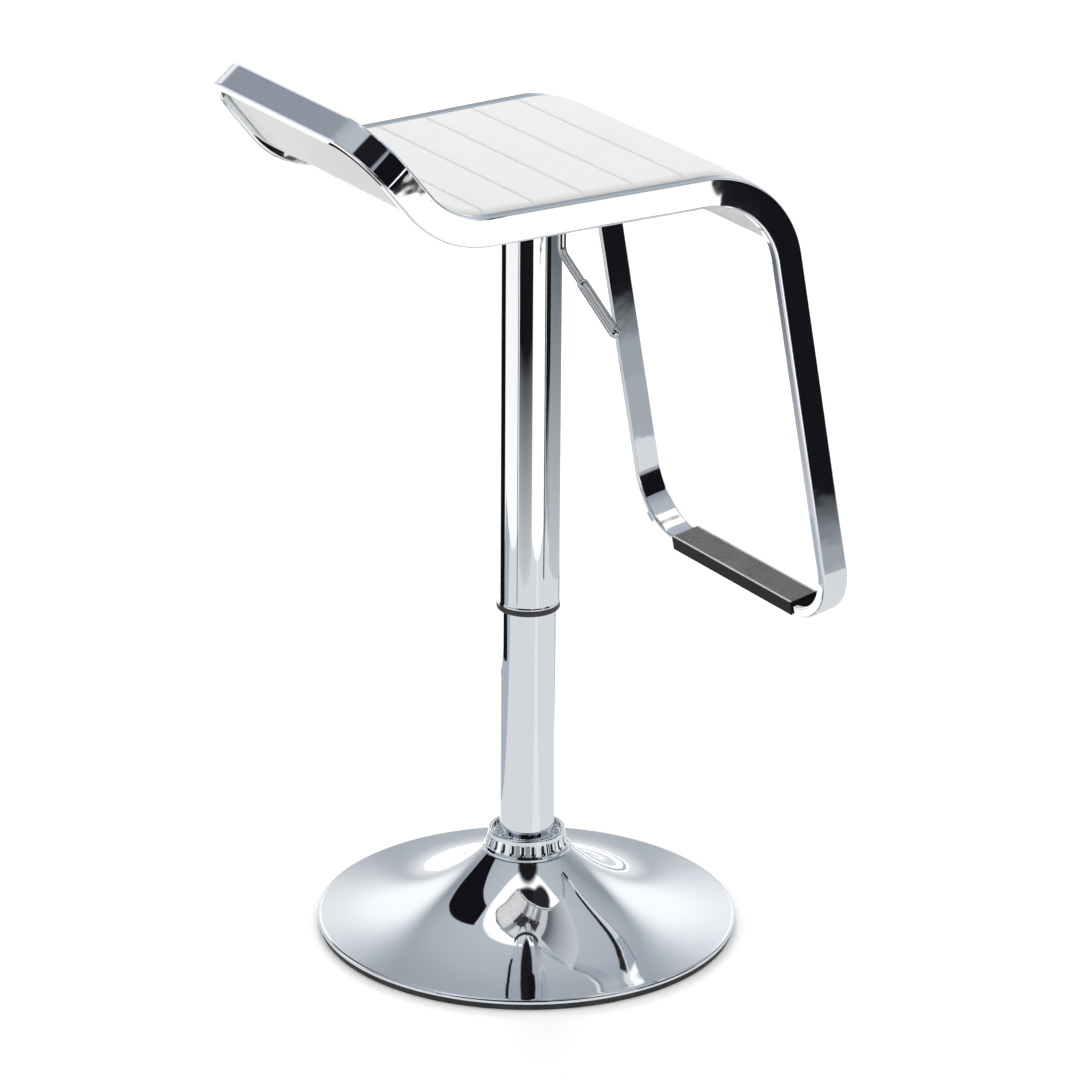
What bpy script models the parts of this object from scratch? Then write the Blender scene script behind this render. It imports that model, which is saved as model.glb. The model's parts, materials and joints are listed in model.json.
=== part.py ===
"""Adjustable swivel bar stool: a gas-lift column on a spun trumpet base carries a
bent-strip loop that is seat frame, low back and footrest in one, with a padded seat.

Metres, +Z up. The sitter faces -Y and the release lever is at the sitter's right
hand, on the -X side. The origin is under the middle of the stool's outline, on the
floor. Inside this file "forward" means towards -Y, measured from the column.
"""

from math import asin, cos, pi, radians, sin, sqrt

import bmesh
import bpy
from mathutils import Matrix, Vector

MM = 0.001
GAP = 0.3 * MM            # between pieces that touch
FACET_SLACK = 0.5 * MM    # more room under a curved shell made of flat bands
ROUND = 32                # facets round a turned piece
FINE_ROUND = 48           # facets round the wide base pieces
SMALL_ROUND = 16          # facets round bolts, pins and the lever
INNER_ROUND = 20          # facets round the rings inside the column
CORNER_STEPS = 10         # facets round each corner of the strip

# Sizes that several pieces follow
BASE_RADIUS = 192.5 * MM
TUBE_RADIUS = 25.0 * MM       # fixed tube of the column
SEAT_UNDERSIDE = 713.1 * MM   # lower edge of the strip beside the column

# Base: spun shell standing on a rubber ring
RIM_BEAD = 2.5 * MM
SHELL_START = BASE_RADIUS - 1.6 * RIM_BEAD    # where the cone leaves the bead
RING_CHAMFER = 0.5 * MM
RING_HEIGHT = 5.0 * MM
RING_WIDTH = 12.0 * MM
RING_INSET = 2.2 * MM
SHELL_WALL = 1.9 * MM
SHELL_LINEAR_RISE = 19.0 * MM
NECK_HEIGHT = 74.6 * MM
NECK_FLANGE = 15.5 * MM       # flat of the neck round the fixed tube
NECK_RADIUS = TUBE_RADIUS + NECK_FLANGE
COLLAR_HEIGHT = 19.5 * MM
COLLAR_FOOT_WALL = 14.9 * MM
COLLAR_TOP_WALL = 9.0 * MM
COLLAR_FOOT_RADIUS = TUBE_RADIUS + COLLAR_FOOT_WALL
COLLAR_TOP_RADIUS = TUBE_RADIUS + COLLAR_TOP_WALL
COLLAR_BAND = 2.5 * MM        # upright band round the collar's foot
COLLAR_STEP = 2.0 * MM        # how far the flank stands in from that band
COLLAR_RIM = 4.0 * MM         # height and width of the rolled top
COLLAR_DISH = 3.0 * MM        # how far the collar dips inside its rolled top
NECK_PLATE = 5.0 * MM
NUT_HEIGHT = 12.0 * MM
BALLAST_INNER = 70.0 * MM
BALLAST_OUTER = 150.0 * MM
BALLAST_THICKNESS = 5.0 * MM
NUT_WALL = 12.0 * MM
NUT_RADIUS = TUBE_RADIUS + NUT_WALL

# Column: fixed tube, guide bush, gas cylinder and the cover tube that slides over
TUBE_WALL = 1.7 * MM
TUBE_FOOT = 12.0 * MM
TUBE_TOP = 430.0 * MM
BUSH_LENGTH = 40.0 * MM
BUSH_FLANGE = 3.5 * MM
CYLINDER_RADIUS = 14.0 * MM
CYLINDER_WALL = 1.4 * MM
CYLINDER_LENGTH = 322.0 * MM
CYLINDER_DROP = 21.1 * MM     # top of the cylinder below the seat's underside
CYLINDER_TOP = SEAT_UNDERSIDE - CYLINDER_DROP
CYLINDER_FOOT = CYLINDER_TOP - CYLINDER_LENGTH
CYLINDER_HEAD = 6.0 * MM
CONE_LENGTH = 42.0 * MM
CONE_NARROWING = 1.0 * MM
CONE_STEP = 5.0 * MM          # how far the bore narrows over below the cone
GLAND_DEPTH = 2.0 * MM        # gland above the cylinder's foot
COVER_WALL = 1.2 * MM
COVER_SLACK = 2.05 * MM       # between the fixed tube and the cover
COVER_RADIUS = TUBE_RADIUS + COVER_SLACK + COVER_WALL
COVER_LENGTH = 373.0 * MM
COVER_DROP = 23.1 * MM        # top of the cover below the seat's underside
COVER_TOP = SEAT_UNDERSIDE - COVER_DROP
COVER_FOOT = COVER_TOP - COVER_LENGTH
GLIDE_LIP = 5.5 * MM
GLIDE_PROUD = 0.6 * MM
GLIDE_SLEEVE = 19.0 * MM

# Piston rod, its thrust bearing and what keeps it in the fixed tube
ROD_RADIUS = 5.0 * MM
ROD_FOOT = 20.0 * MM
END_PLATE_FOOT = 30.0 * MM
END_PLATE = 6.0 * MM
RACE_RADIUS = 13.0 * MM
RACE_THICKNESS = 2.5 * MM
BALL_RADIUS = 2.4 * MM
BALL_PITCH_RADIUS = 9.2 * MM
BALL_COUNT = 8
CAGE_HALF_WIDTH = 3.0 * MM
CAGE_THICKNESS = 1.6 * MM
BUFFER_LENGTH = 15.0 * MM
BUFFER_RADIUS = 11.0 * MM
WASHER_RADIUS = 11.0 * MM
ROD_TIP = 3.0 * MM            # rod above the piston
WASHER_THICKNESS = 3.0 * MM
CLIP_THICKNESS = 2.0 * MM
CLIP_RADIUS = 9.0 * MM
CLIP_GROOVE = 1.0 * MM
GLAND_LENGTH = 10.0 * MM
PISTON_LENGTH = 11.0 * MM
PISTON_ABOVE_GLAND = 20.0 * MM
PISTON_SPIGOT = 3.9 * MM

# Frame loop: one flat strip, wide faces outwards
STRIP_WIDTH = 27.0 * MM
STRIP_THICKNESS = 11.0 * MM
STRIP_EDGE = 1.6 * MM
SEAT_RISE = radians(0.7)      # the flat stretch rises towards the front
BACK_FLAT = 127.8 * MM
BACK_BEND_RADIUS = 84.5 * MM
BACK_BEND = radians(51.7)
BACK_STRAIGHT = 32.0 * MM
BACK_CORNER_RADIUS = 44.5 * MM
FRONT_FLAT = 82.2 * MM
FRONT_BEND_RADIUS = 87.2 * MM
LEG_LEAN = radians(10.5)
LEG_LENGTH = 306.0 * MM
FOOT_CORNER_RADIUS = 58.0 * MM
FRAME_WIDTH_BACK = 282.0 * MM
FRAME_WIDTH_FOOT = 320.0 * MM
FRAME_BACK_REACH = 245.0 * MM
FRAME_FOOT_REACH = 235.0 * MM

# Seat: board and pad inside the loop, on two cross rails
PAD_PROUD = 3.0 * MM          # pad top above the strip's edge
BOARD_LIFT = 8.0 * MM         # board underside above the strip's lower edge
BOARD_THICKNESS = 9.0 * MM
BOARD_INSET = 3.0 * MM
PAD_SIDE_GAP = 1.2 * MM
PAD_END_GAP = 2.0 * MM
PAD_EDGE = 5.0 * MM
PAD_WRAP = radians(68.0)
RAIL_WIDTH = 30.0 * MM
RAIL_THICKNESS = 5.0 * MM
RAIL_REACH = 55.0 * MM
PLATE_WIDTH = 90.0 * MM
PLATE_DEPTH = 150.0 * MM
PLATE_THICKNESS = 3.0 * MM
BOLT_SPREAD = 35.0 * MM
BOLT_RADIUS = 3.0 * MM
BOLT_HEAD_RADIUS = 5.5 * MM
BOLT_HEAD = 4.0 * MM
BOLT_BITE = 6.0 * MM          # depth into the board
BOLT_CLEARANCE = 0.4 * MM

# Hub under the seat plate
HUB_PLUG = 40.0 * MM          # depth inside the cover tube
HUB_WAIST_LENGTH = 18.0 * MM
HUB_LIP = 1.75 * MM
HUB_FOOT = COVER_TOP - HUB_PLUG
HUB_WAIST = HUB_FOOT + HUB_WAIST_LENGTH
HUB_WAIST_RADIUS = 20.0 * MM
HUB_RADIUS = COVER_RADIUS + HUB_LIP
POCKET_RADIUS = 12.0 * MM
POCKET_DEPTH = 14.0 * MM
SLOT_HALF_WIDTH = 4.6 * MM

# Release lever and the valve pin it presses
LEVER_BELOW_SEAT = 8.1 * MM
LEVER_HEIGHT = SEAT_UNDERSIDE - LEVER_BELOW_SEAT
LEVER_RADIUS = 3.8 * MM
LEVER_INNER = 4.0 * MM
LEVER_DROP_REACH = 52.0 * MM
LEVER_DROP = 44.0 * MM
LEVER_KNEE_HEIGHT = LEVER_HEIGHT - LEVER_DROP
LEVER_SLOPE = radians(29.5)
LEVER_SLANT = 100.0 * MM
LEVER_BEND_RADIUS = 10.0 * MM
GRIP_RADIUS = 5.2 * MM
GRIP_WALL = 1.1 * MM
GRIP_LENGTH = 66.0 * MM
GRIP_OVERHANG = 4.0 * MM
GRIP_CHAMFER = 0.5 * MM
PIVOT_REACH = 21.0 * MM
PIVOT_RADIUS = 2.0 * MM
PIVOT_LENGTH = 30.0 * MM
VALVE_RADIUS = 3.0 * MM
VALVE_TOP_GAP = 0.7 * MM
VALVE_HEAD_RADIUS = 6.0 * MM
VALVE_HEAD = 12.0 * MM
VALVE_HEAD_GAP = 2.0 * MM

# Footrest tread: a rubber channel clipped over the foot bar
TREAD_RUN_ON = 2.0 * MM       # past the straight of the bar at each end
TREAD_TOP = 3.0 * MM
TREAD_SIDE = 1.5 * MM
TREAD_LIP_STOP = 0.8 * MM

# Colour, roughness and metallic value of each finish
FINISHES = {
    "chrome": ((0.86, 0.87, 0.89), 0.06, 1.0),
    "steel": ((0.52, 0.53, 0.55), 0.38, 1.0),
    "black_steel": ((0.03, 0.03, 0.035), 0.35, 0.6),
    "rubber": ((0.02, 0.02, 0.022), 0.75, 0.0),
    "black_plastic": ((0.025, 0.025, 0.028), 0.45, 0.0),
    "white_plastic": ((0.78, 0.77, 0.74), 0.5, 0.0),
    "plywood": ((0.55, 0.4, 0.24), 0.7, 0.0),
    "white_leather": ((0.86, 0.86, 0.85), 0.55, 0.0),
}


# ---------------------------------------------------------------- scene helpers

def clear_scene():
    """Remove every object of the open file."""
    for obj in list(bpy.data.objects):
        bpy.data.objects.remove(obj, do_unlink=True)


def finish(name):
    """The named finish as a Principled material, made once."""
    found = bpy.data.materials.get(name)
    if found:
        return found
    colour, roughness, metallic = FINISHES[name]
    made = bpy.data.materials.new(name)
    made.use_nodes = True
    shader = made.node_tree.nodes["Principled BSDF"]
    shader.inputs["Base Color"].default_value = (*colour, 1.0)
    shader.inputs["Roughness"].default_value = roughness
    shader.inputs["Metallic"].default_value = metallic
    made.diffuse_color = (*colour, 1.0)
    return made


def add_object(name, mesh, finish_name, parent, location=(0, 0, 0), rotation=(0, 0, 0)):
    """Put a mesh in the scene under a parent, with one finish."""
    obj = bpy.data.objects.new(name, mesh)
    bpy.context.scene.collection.objects.link(obj)
    obj.parent = parent
    obj.location = location
    obj.rotation_euler = rotation
    mesh.materials.clear()
    mesh.materials.append(finish(finish_name))
    return obj


def add_empty(name, parent=None, location=(0, 0, 0)):
    """A guide point that moving pieces hang from."""
    empty = bpy.data.objects.new(name, None)
    bpy.context.scene.collection.objects.link(empty)
    empty.parent = parent
    empty.location = location
    return empty


def mesh_from(bm, name, smooth_angle=radians(35)):
    """Finish a bmesh: normals outwards, round faces smooth, sharp edges kept."""
    bmesh.ops.recalc_face_normals(bm, faces=bm.faces)
    mesh = bpy.data.meshes.new(name)
    bm.to_mesh(mesh)
    bm.free()
    mesh.shade_smooth()
    mesh.set_sharp_from_angle(angle=smooth_angle)
    return mesh


def cut(target, cutter):
    """Cut one object by another, which stays as a hidden guide."""
    cutter.hide_render = True
    cutter.display_type = "WIRE"
    boolean = target.modifiers.new("cut_" + cutter.name, "BOOLEAN")
    boolean.operation = "DIFFERENCE"
    boolean.solver = "EXACT"
    boolean.object = cutter


# ---------------------------------------------------------------- shape helpers

def turned(name, profile, segments=ROUND):
    """Spin a closed outline of (radius, height) points about Z. Points on the axis
    become poles, so the outline may start and end there."""
    bm = bmesh.new()
    verts = [bm.verts.new((r, 0, z)) for r, z in profile]
    count = len(verts)
    edges = []
    for i, vert in enumerate(verts):
        after = verts[(i + 1) % count]
        if vert.co.x > 0 or after.co.x > 0:
            edges.append(bm.edges.new((vert, after)))
    bmesh.ops.spin(bm, geom=verts + edges, cent=(0, 0, 0), axis=(0, 0, 1),
                   angle=2 * pi, steps=segments, use_duplicate=False)
    bmesh.ops.remove_doubles(bm, verts=bm.verts, dist=0.001 * MM)
    return mesh_from(bm, name)


def ring_profile(inner, outer, low, high):
    """Outline of a plain ring."""
    return [(inner, low), (outer, low), (outer, high), (inner, high)]


def rod_profile(radius, low, high):
    """Outline of a solid round bar."""
    return [(0, low), (radius, low), (radius, high), (0, high)]


def block(name, size, centre=(0, 0, 0)):
    """A box."""
    bm = bmesh.new()
    bmesh.ops.create_cube(bm, size=1.0)
    bmesh.ops.scale(bm, vec=size, verts=bm.verts)
    bmesh.ops.translate(bm, vec=centre, verts=bm.verts)
    return mesh_from(bm, name)


def lofted(name, sections, closed=False):
    """Skin a row of equal-count sections; open rows get end caps."""
    bm = bmesh.new()
    rows = [[bm.verts.new(point) for point in section] for section in sections]
    pairs = list(zip(rows, rows[1:]))
    if closed:
        pairs.append((rows[-1], rows[0]))
    for row, after in pairs:
        for i in range(len(row)):
            j = (i + 1) % len(row)
            bm.faces.new((row[i], row[j], after[j], after[i]))
    if not closed:
        bm.faces.new(rows[0])
        bm.faces.new(reversed(rows[-1]))
    return mesh_from(bm, name)


def swept_tube(name, path, radius, segments):
    """A round bar along a path that lies in the XZ plane."""
    sections = []
    for i, point in enumerate(path):
        before = path[max(i - 1, 0)]
        after = path[min(i + 1, len(path) - 1)]
        along = (after - before).normalized()
        side = Vector((0, 1, 0))
        up = along.cross(side)
        sections.append([point + radius * (cos(a) * side + sin(a) * up)
                         for a in (2 * pi * k / segments for k in range(segments))])
    return lofted(name, sections)


def rounded_path(corners, radius, steps=6):
    """The corners as a path whose inner corners are arcs of the given radius."""
    path = [corners[0]]
    for before, corner, after in zip(corners, corners[1:], corners[2:]):
        to_before = (before - corner).normalized()
        to_after = (after - corner).normalized()
        half = to_before.angle(to_after) / 2
        reach = radius * cos(half) / sin(half)
        centre = corner + (to_before + to_after).normalized() * (radius / sin(half))
        start = corner + to_before * reach - centre
        end = corner + to_after * reach - centre
        sweep = start.angle(end)
        for k in range(steps + 1):
            share = k / steps
            path.append(centre + (start * sin((1 - share) * sweep)
                                  + end * sin(share * sweep)) / sin(sweep))
    path.append(corners[-1])
    return path


# ------------------------------------------------------- side line of the frame

FRONT_TURN = pi / 2 - LEG_LEAN + SEAT_RISE
STRIP_MIDDLE = SEAT_UNDERSIDE + STRIP_WIDTH / 2 / cos(SEAT_RISE)
BACK_END = -(BACK_FLAT + BACK_BEND_RADIUS * BACK_BEND + BACK_STRAIGHT)
LEG_END = FRONT_FLAT + FRONT_BEND_RADIUS * FRONT_TURN + LEG_LENGTH


def side_line(distance):
    """Where the strip's middle line is, seen from the side, at a distance along it
    from the column (forward positive): forward reach, height and slope."""
    flat = min(max(distance, -BACK_FLAT), FRONT_FLAT)
    slope = SEAT_RISE
    reach = flat * cos(slope)
    height = STRIP_MIDDLE + flat * sin(slope)
    rest = distance - flat
    if rest == 0:
        return reach, height, slope
    if rest > 0:
        turned_by = min(rest / FRONT_BEND_RADIUS, FRONT_TURN)
        straight = rest - turned_by * FRONT_BEND_RADIUS
        radius = -FRONT_BEND_RADIUS
    else:
        turned_by = min(-rest / BACK_BEND_RADIUS, BACK_BEND)
        straight = rest + turned_by * BACK_BEND_RADIUS
        radius = BACK_BEND_RADIUS
    after = slope - turned_by
    reach += radius * (sin(after) - sin(slope)) + straight * cos(after)
    height += radius * (cos(slope) - cos(after)) + straight * sin(after)
    return reach, height, after


def half_width(reach):
    """Half of the frame's outer width at a forward reach; it narrows to the back."""
    share = (reach + FRAME_BACK_REACH) / (FRAME_BACK_REACH + FRAME_FOOT_REACH)
    return (FRAME_WIDTH_BACK + share * (FRAME_WIDTH_FOOT - FRAME_WIDTH_BACK)) / 2


def place(x, reach, height):
    """A point from its sideways, forward and upward measures."""
    return Vector((x, -reach, height))


def off_line(distance, x, out):
    """A point a given distance out from the side line, square to it."""
    reach, height, slope = side_line(distance)
    return place(x, reach - out * sin(slope), height + out * cos(slope))


def spread(start, end, steps):
    """Evenly spaced values from start to end, both included."""
    return [start + (end - start) * k / steps for k in range(steps + 1)]


# ----------------------------------------------------------------------- frame

def strip_section(centre, thick, wide):
    """Eight points of the strip's chamfered rectangle."""
    t, w, e = STRIP_THICKNESS / 2, STRIP_WIDTH / 2, STRIP_EDGE
    corners = [(t, -w + e), (t, w - e), (t - e, w), (-t + e, w),
               (-t, w - e), (-t, -w + e), (-t + e, -w), (t - e, -w)]
    return [centre + thick * a + wide * b for a, b in corners]


def corner_start(distance, radius):
    """Sideways reach at which a cross bar's straight ends and its corner begins."""
    return half_width(side_line(distance)[0]) - STRIP_THICKNESS / 2 - radius


def corner_stations(distance, outwards, radius, steps):
    """Stations round a corner from the cross bar's middle to the side bar, on the
    +X side: centre, thickness direction and width direction."""
    reach, height, slope = side_line(distance)
    travel = place(0, cos(slope), sin(slope)) * outwards
    wide = place(0, -sin(slope), cos(slope))
    start = place(0, reach, height)
    bend_x = corner_start(distance, radius)
    stations = [(start + travel * radius, travel, wide)]
    for angle in spread(0, pi / 2, steps):
        thick = Vector((1, 0, 0)) * sin(angle) + travel * cos(angle)
        centre = start + Vector((bend_x, 0, 0)) + thick * radius
        stations.append((centre, thick, wide))
    return stations


def side_stations():
    """Stations down the +X side bar, between the two corners."""
    back_bend_end = -(BACK_FLAT + BACK_BEND_RADIUS * BACK_BEND)
    front_bend_end = FRONT_FLAT + FRONT_BEND_RADIUS * FRONT_TURN
    distances = (spread(back_bend_end, -BACK_FLAT, 10) + [0.0]
                 + spread(FRONT_FLAT, front_bend_end, 14))
    stations = []
    for distance in distances:
        reach, height, slope = side_line(distance)
        centre = place(half_width(reach) - STRIP_THICKNESS / 2, reach, height)
        stations.append((centre, Vector((1, 0, 0)), place(0, -sin(slope), cos(slope))))
    return stations


def frame_loop(parent):
    """The strip as one closed loop: back bar, sides, legs and foot bar."""
    right = (corner_stations(BACK_END, -1, BACK_CORNER_RADIUS, CORNER_STEPS) + side_stations()
             + list(reversed(corner_stations(LEG_END, 1, FOOT_CORNER_RADIUS, CORNER_STEPS))))
    flip = Matrix.Diagonal((-1, 1, 1))
    left = [(flip @ c, flip @ t, w) for c, t, w in reversed(right[1:-1])]
    sections = [strip_section(*station) for station in right + left]
    add_object("frame_loop", lofted("frame_loop", sections, closed=True), "chrome", parent)


def foot_bar():
    """Middle of the foot bar, the way down the legs and the way across the bar."""
    reach, height, slope = side_line(LEG_END)
    down = place(0, cos(slope), sin(slope))
    return place(0, reach, height) + down * FOOT_CORNER_RADIUS, down, place(0, -sin(slope), cos(slope))


def footrest_tread(parent):
    """Rubber channel over the foot bar: ribbed top, lips down both edges."""
    middle, down, across = foot_bar()
    inner = STRIP_WIDTH / 2 + GAP
    outer = inner + TREAD_SIDE
    under = STRIP_THICKNESS / 2 + GAP
    top = under + TREAD_TOP
    lip = TREAD_LIP_STOP - STRIP_THICKNESS / 2
    outline = [(-outer, lip), (-outer, top), (outer, top), (outer, lip),
               (inner, lip), (inner, under), (-inner, under), (-inner, lip)]
    half = corner_start(LEG_END, FOOT_CORNER_RADIUS) + TREAD_RUN_ON
    sections = [[middle + Vector((x, 0, 0)) + across * a - down * b for a, b in outline]
                for x in (-half, half)]
    add_object("footrest_tread", lofted("footrest_tread", sections), "rubber", parent)


# ------------------------------------------------------------------------ seat

PAD_BACK = BACK_END - BACK_CORNER_RADIUS + STRIP_THICKNESS / 2 + PAD_END_GAP
PAD_FRONT = FRONT_FLAT + FRONT_BEND_RADIUS * PAD_WRAP
BOARD_LOW = BOARD_LIFT - STRIP_WIDTH / 2
BOARD_HIGH = BOARD_LOW + BOARD_THICKNESS


def seat_half_width(distance, inset):
    """Room between the side bars, rounded off where the back corners turn in."""
    radius = BACK_CORNER_RADIUS - STRIP_THICKNESS / 2 - PAD_SIDE_GAP - inset
    corner = side_line(BACK_END)[0]
    reach = max(side_line(distance)[0], corner)
    full = half_width(reach) - STRIP_THICKNESS - PAD_SIDE_GAP - inset
    into = BACK_END - distance
    if into <= 0:
        return full
    return full - radius + sqrt(max(radius ** 2 - into ** 2, 0.0))


def seat_distances(inset):
    """Where the seat's sections stand, close together where it bends or rounds."""
    back_bend_end = -(BACK_FLAT + BACK_BEND_RADIUS * BACK_BEND)
    radius = BACK_CORNER_RADIUS - STRIP_THICKNESS / 2 - PAD_SIDE_GAP - inset
    furthest = asin(min((BACK_END - PAD_BACK - inset) / radius, 1.0))
    rounding = [BACK_END - radius * sin(a) for a in spread(furthest, 0, 6)]
    return (rounding + spread(back_bend_end, -BACK_FLAT, 9)
            + [0.0] + spread(FRONT_FLAT, PAD_FRONT - inset, 9))


def seat_slab(name, low, high, inset, edge, finish_name, parent):
    """A slab that follows the frame's side line between two offsets."""
    sections = []
    for distance in seat_distances(inset):
        half = seat_half_width(distance, inset)
        outline = [(-half, low), (half, low), (half, high - edge), (half - edge / 3, high - edge / 3),
                   (half - edge, high), (-half + edge, high), (-half + edge / 3, high - edge / 3),
                   (-half, high - edge)]
        sections.append([off_line(distance, x, out) for x, out in outline])
    return add_object(name, lofted(name, sections), finish_name, parent)


def bolt_spots():
    """Forward reach and sideways place of the four seat bolts."""
    return [(reach, x) for reach in (-RAIL_REACH, RAIL_REACH) for x in (-BOLT_SPREAD, BOLT_SPREAD)]


def drill(target, name, x, reach, low, high, radius, parent):
    """Cut an upright hole, square to the seat, through a piece."""
    hole = add_object(name, turned(name, rod_profile(radius, low, high), SMALL_ROUND),
                      "steel", parent, location=off_line(reach, x, 0), rotation=(-SEAT_RISE, 0, 0))
    cut(target, hole)


def seat_pieces(parent):
    """Board, pad, cross rails, seat plate and the bolts through them."""
    rail_high = BOARD_LOW - GAP
    rail_low = rail_high - RAIL_THICKNESS
    plate_high = rail_low - GAP
    plate_low = plate_high - PLATE_THICKNESS
    tilt = (-SEAT_RISE, 0, 0)
    pad_top = STRIP_WIDTH / 2 + PAD_PROUD
    seat_slab("seat_pad", BOARD_HIGH + GAP, pad_top, 0.0, PAD_EDGE, "white_leather", parent)
    board = seat_slab("seat_board", BOARD_LOW, BOARD_HIGH, BOARD_INSET, GAP, "plywood", parent)
    rails = {}
    for name, reach in (("rear_rail", -RAIL_REACH), ("front_rail", RAIL_REACH)):
        narrowest = half_width(side_line(reach)[0] - RAIL_WIDTH / 2)
        length = 2 * (narrowest - STRIP_THICKNESS - GAP)
        mesh = block(name, (length, RAIL_WIDTH, RAIL_THICKNESS), (0, 0, (rail_low + rail_high) / 2))
        rails[reach] = add_object(name, mesh, "steel", parent, off_line(reach, 0, 0), tilt)
    mesh = block("seat_plate", (PLATE_WIDTH, PLATE_DEPTH, PLATE_THICKNESS),
                 (0, 0, (plate_low + plate_high) / 2))
    plate = add_object("seat_plate", mesh, "black_steel", parent, off_line(0, 0, 0), tilt)
    clear = BOLT_RADIUS + BOLT_CLEARANCE
    for number, (reach, x) in enumerate(bolt_spots(), start=1):
        drill(plate, f"plate_hole_{number}", x, reach, plate_low - MM, plate_high + MM, clear, parent)
        drill(rails[reach], f"rail_hole_{number}", x, reach, rail_low - MM, rail_high + MM, clear, parent)
        drill(board, f"board_hole_{number}", x, reach, BOARD_LOW - MM,
              BOARD_LOW + BOLT_BITE + BOLT_CLEARANCE, clear, parent)
        head_high = plate_low - GAP
        outline = [(0, head_high - BOLT_HEAD), (BOLT_HEAD_RADIUS, head_high - BOLT_HEAD),
                   (BOLT_HEAD_RADIUS, head_high), (BOLT_RADIUS, head_high),
                   (BOLT_RADIUS, BOARD_LOW + BOLT_BITE), (0, BOARD_LOW + BOLT_BITE)]
        name = f"seat_bolt_{number}"
        add_object(name, turned(name, outline, SMALL_ROUND), "steel", parent,
                   off_line(reach, x, 0), tilt)


def plate_underside():
    """Height of the seat plate's lower face beside the column."""
    below = STRIP_WIDTH / 2 - BOARD_LIFT + RAIL_THICKNESS + PLATE_THICKNESS + 2 * GAP
    return STRIP_MIDDLE - below


# ------------------------------------------------------------------------ base

def shell_height(radius):
    """Height of the trumpet's outer face at a radius: a shallow cone that curls up."""
    share = (SHELL_START - radius) / (SHELL_START - NECK_RADIUS)
    rim = RING_HEIGHT + 2 * RIM_BEAD
    curl = NECK_HEIGHT - rim - SHELL_LINEAR_RISE
    return rim + SHELL_LINEAR_RISE * share + curl * share ** 3


def shell_radii():
    """Radii of the bands that the trumpet's outer face is made of, from the rim inwards."""
    return spread(SHELL_START, NECK_RADIUS, 8)


def base_shell(parent):
    """Spun shell with a rolled bead at its rim and a flat neck."""
    bead_centre = BASE_RADIUS - RIM_BEAD, RING_HEIGHT + GAP + RIM_BEAD
    bead = [(bead_centre[0] + RIM_BEAD * cos(a), bead_centre[1] + RIM_BEAD * sin(a))
            for a in spread(-pi / 2, pi / 3, 4)]
    radii = shell_radii()
    outside = [(r, shell_height(r)) for r in radii]
    inside = [(r, shell_height(r) - SHELL_WALL) for r in reversed(radii[1:])]
    hole = TUBE_RADIUS + GAP
    neck = [(hole, NECK_HEIGHT), (hole, NECK_HEIGHT - SHELL_WALL)]
    fold = [(radii[0] - SHELL_WALL, RING_HEIGHT + GAP + SHELL_WALL),
            (radii[0] - SHELL_WALL, RING_HEIGHT + GAP)]
    mesh = turned("base_shell", bead + outside + neck + inside + fold, FINE_ROUND)
    add_object("base_shell", mesh, "chrome", parent)


def base_pieces(parent):
    """The floor ring, shell, ballast, neck plate, ring nut and collar."""
    outer = BASE_RADIUS - RING_INSET
    ring = [(outer - RING_WIDTH, 0), (outer - RING_CHAMFER, 0), (outer, RING_CHAMFER),
            (outer, RING_HEIGHT), (outer - RING_WIDTH, RING_HEIGHT)]
    add_object("floor_ring", turned("floor_ring", ring, FINE_ROUND), "rubber", parent)
    base_shell(parent)
    between = [r for r in reversed(shell_radii()) if BALLAST_INNER < r < BALLAST_OUTER]
    radii = [BALLAST_INNER, *between, BALLAST_OUTER]
    upper = [(r, shell_height(r) - SHELL_WALL - GAP - FACET_SLACK) for r in radii]
    lower = [(r, z - BALLAST_THICKNESS) for r, z in reversed(upper)]
    add_object("ballast_ring", turned("ballast_ring", upper + lower, FINE_ROUND), "black_steel", parent)
    hole = TUBE_RADIUS + GAP
    plate_high = NECK_HEIGHT - SHELL_WALL - GAP
    plate_low = plate_high - NECK_PLATE
    mesh = turned("neck_plate", ring_profile(hole, NECK_RADIUS - SHELL_WALL, plate_low, plate_high))
    add_object("neck_plate", mesh, "steel", parent)
    nut_high = plate_low - GAP
    nut = add_object("column_nut", turned("column_nut", rod_profile(NUT_RADIUS, nut_high - NUT_HEIGHT,
                                                                   nut_high), 6), "steel", parent)
    bore = rod_profile(hole, nut_high - 2 * NUT_HEIGHT, nut_high + NUT_HEIGHT)
    cut(nut, add_object("nut_bore", turned("nut_bore", bore), "steel", parent))
    foot = NECK_HEIGHT + GAP
    top = foot + COLLAR_HEIGHT
    flank_foot = foot + COLLAR_BAND + COLLAR_STEP
    lip = COLLAR_TOP_RADIUS - COLLAR_RIM
    collar = [(hole, foot), (COLLAR_FOOT_RADIUS, foot), (COLLAR_FOOT_RADIUS, foot + COLLAR_BAND),
              (COLLAR_FOOT_RADIUS - COLLAR_STEP, flank_foot), (COLLAR_TOP_RADIUS + MM, top - COLLAR_RIM),
              (COLLAR_TOP_RADIUS, top - MM), (COLLAR_TOP_RADIUS - MM, top), (lip, top),
              (lip - MM, top - COLLAR_DISH), (hole, top - COLLAR_DISH)]
    add_object("column_collar", turned("column_collar", collar), "chrome", parent)


# ---------------------------------------------------------------------- column

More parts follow.
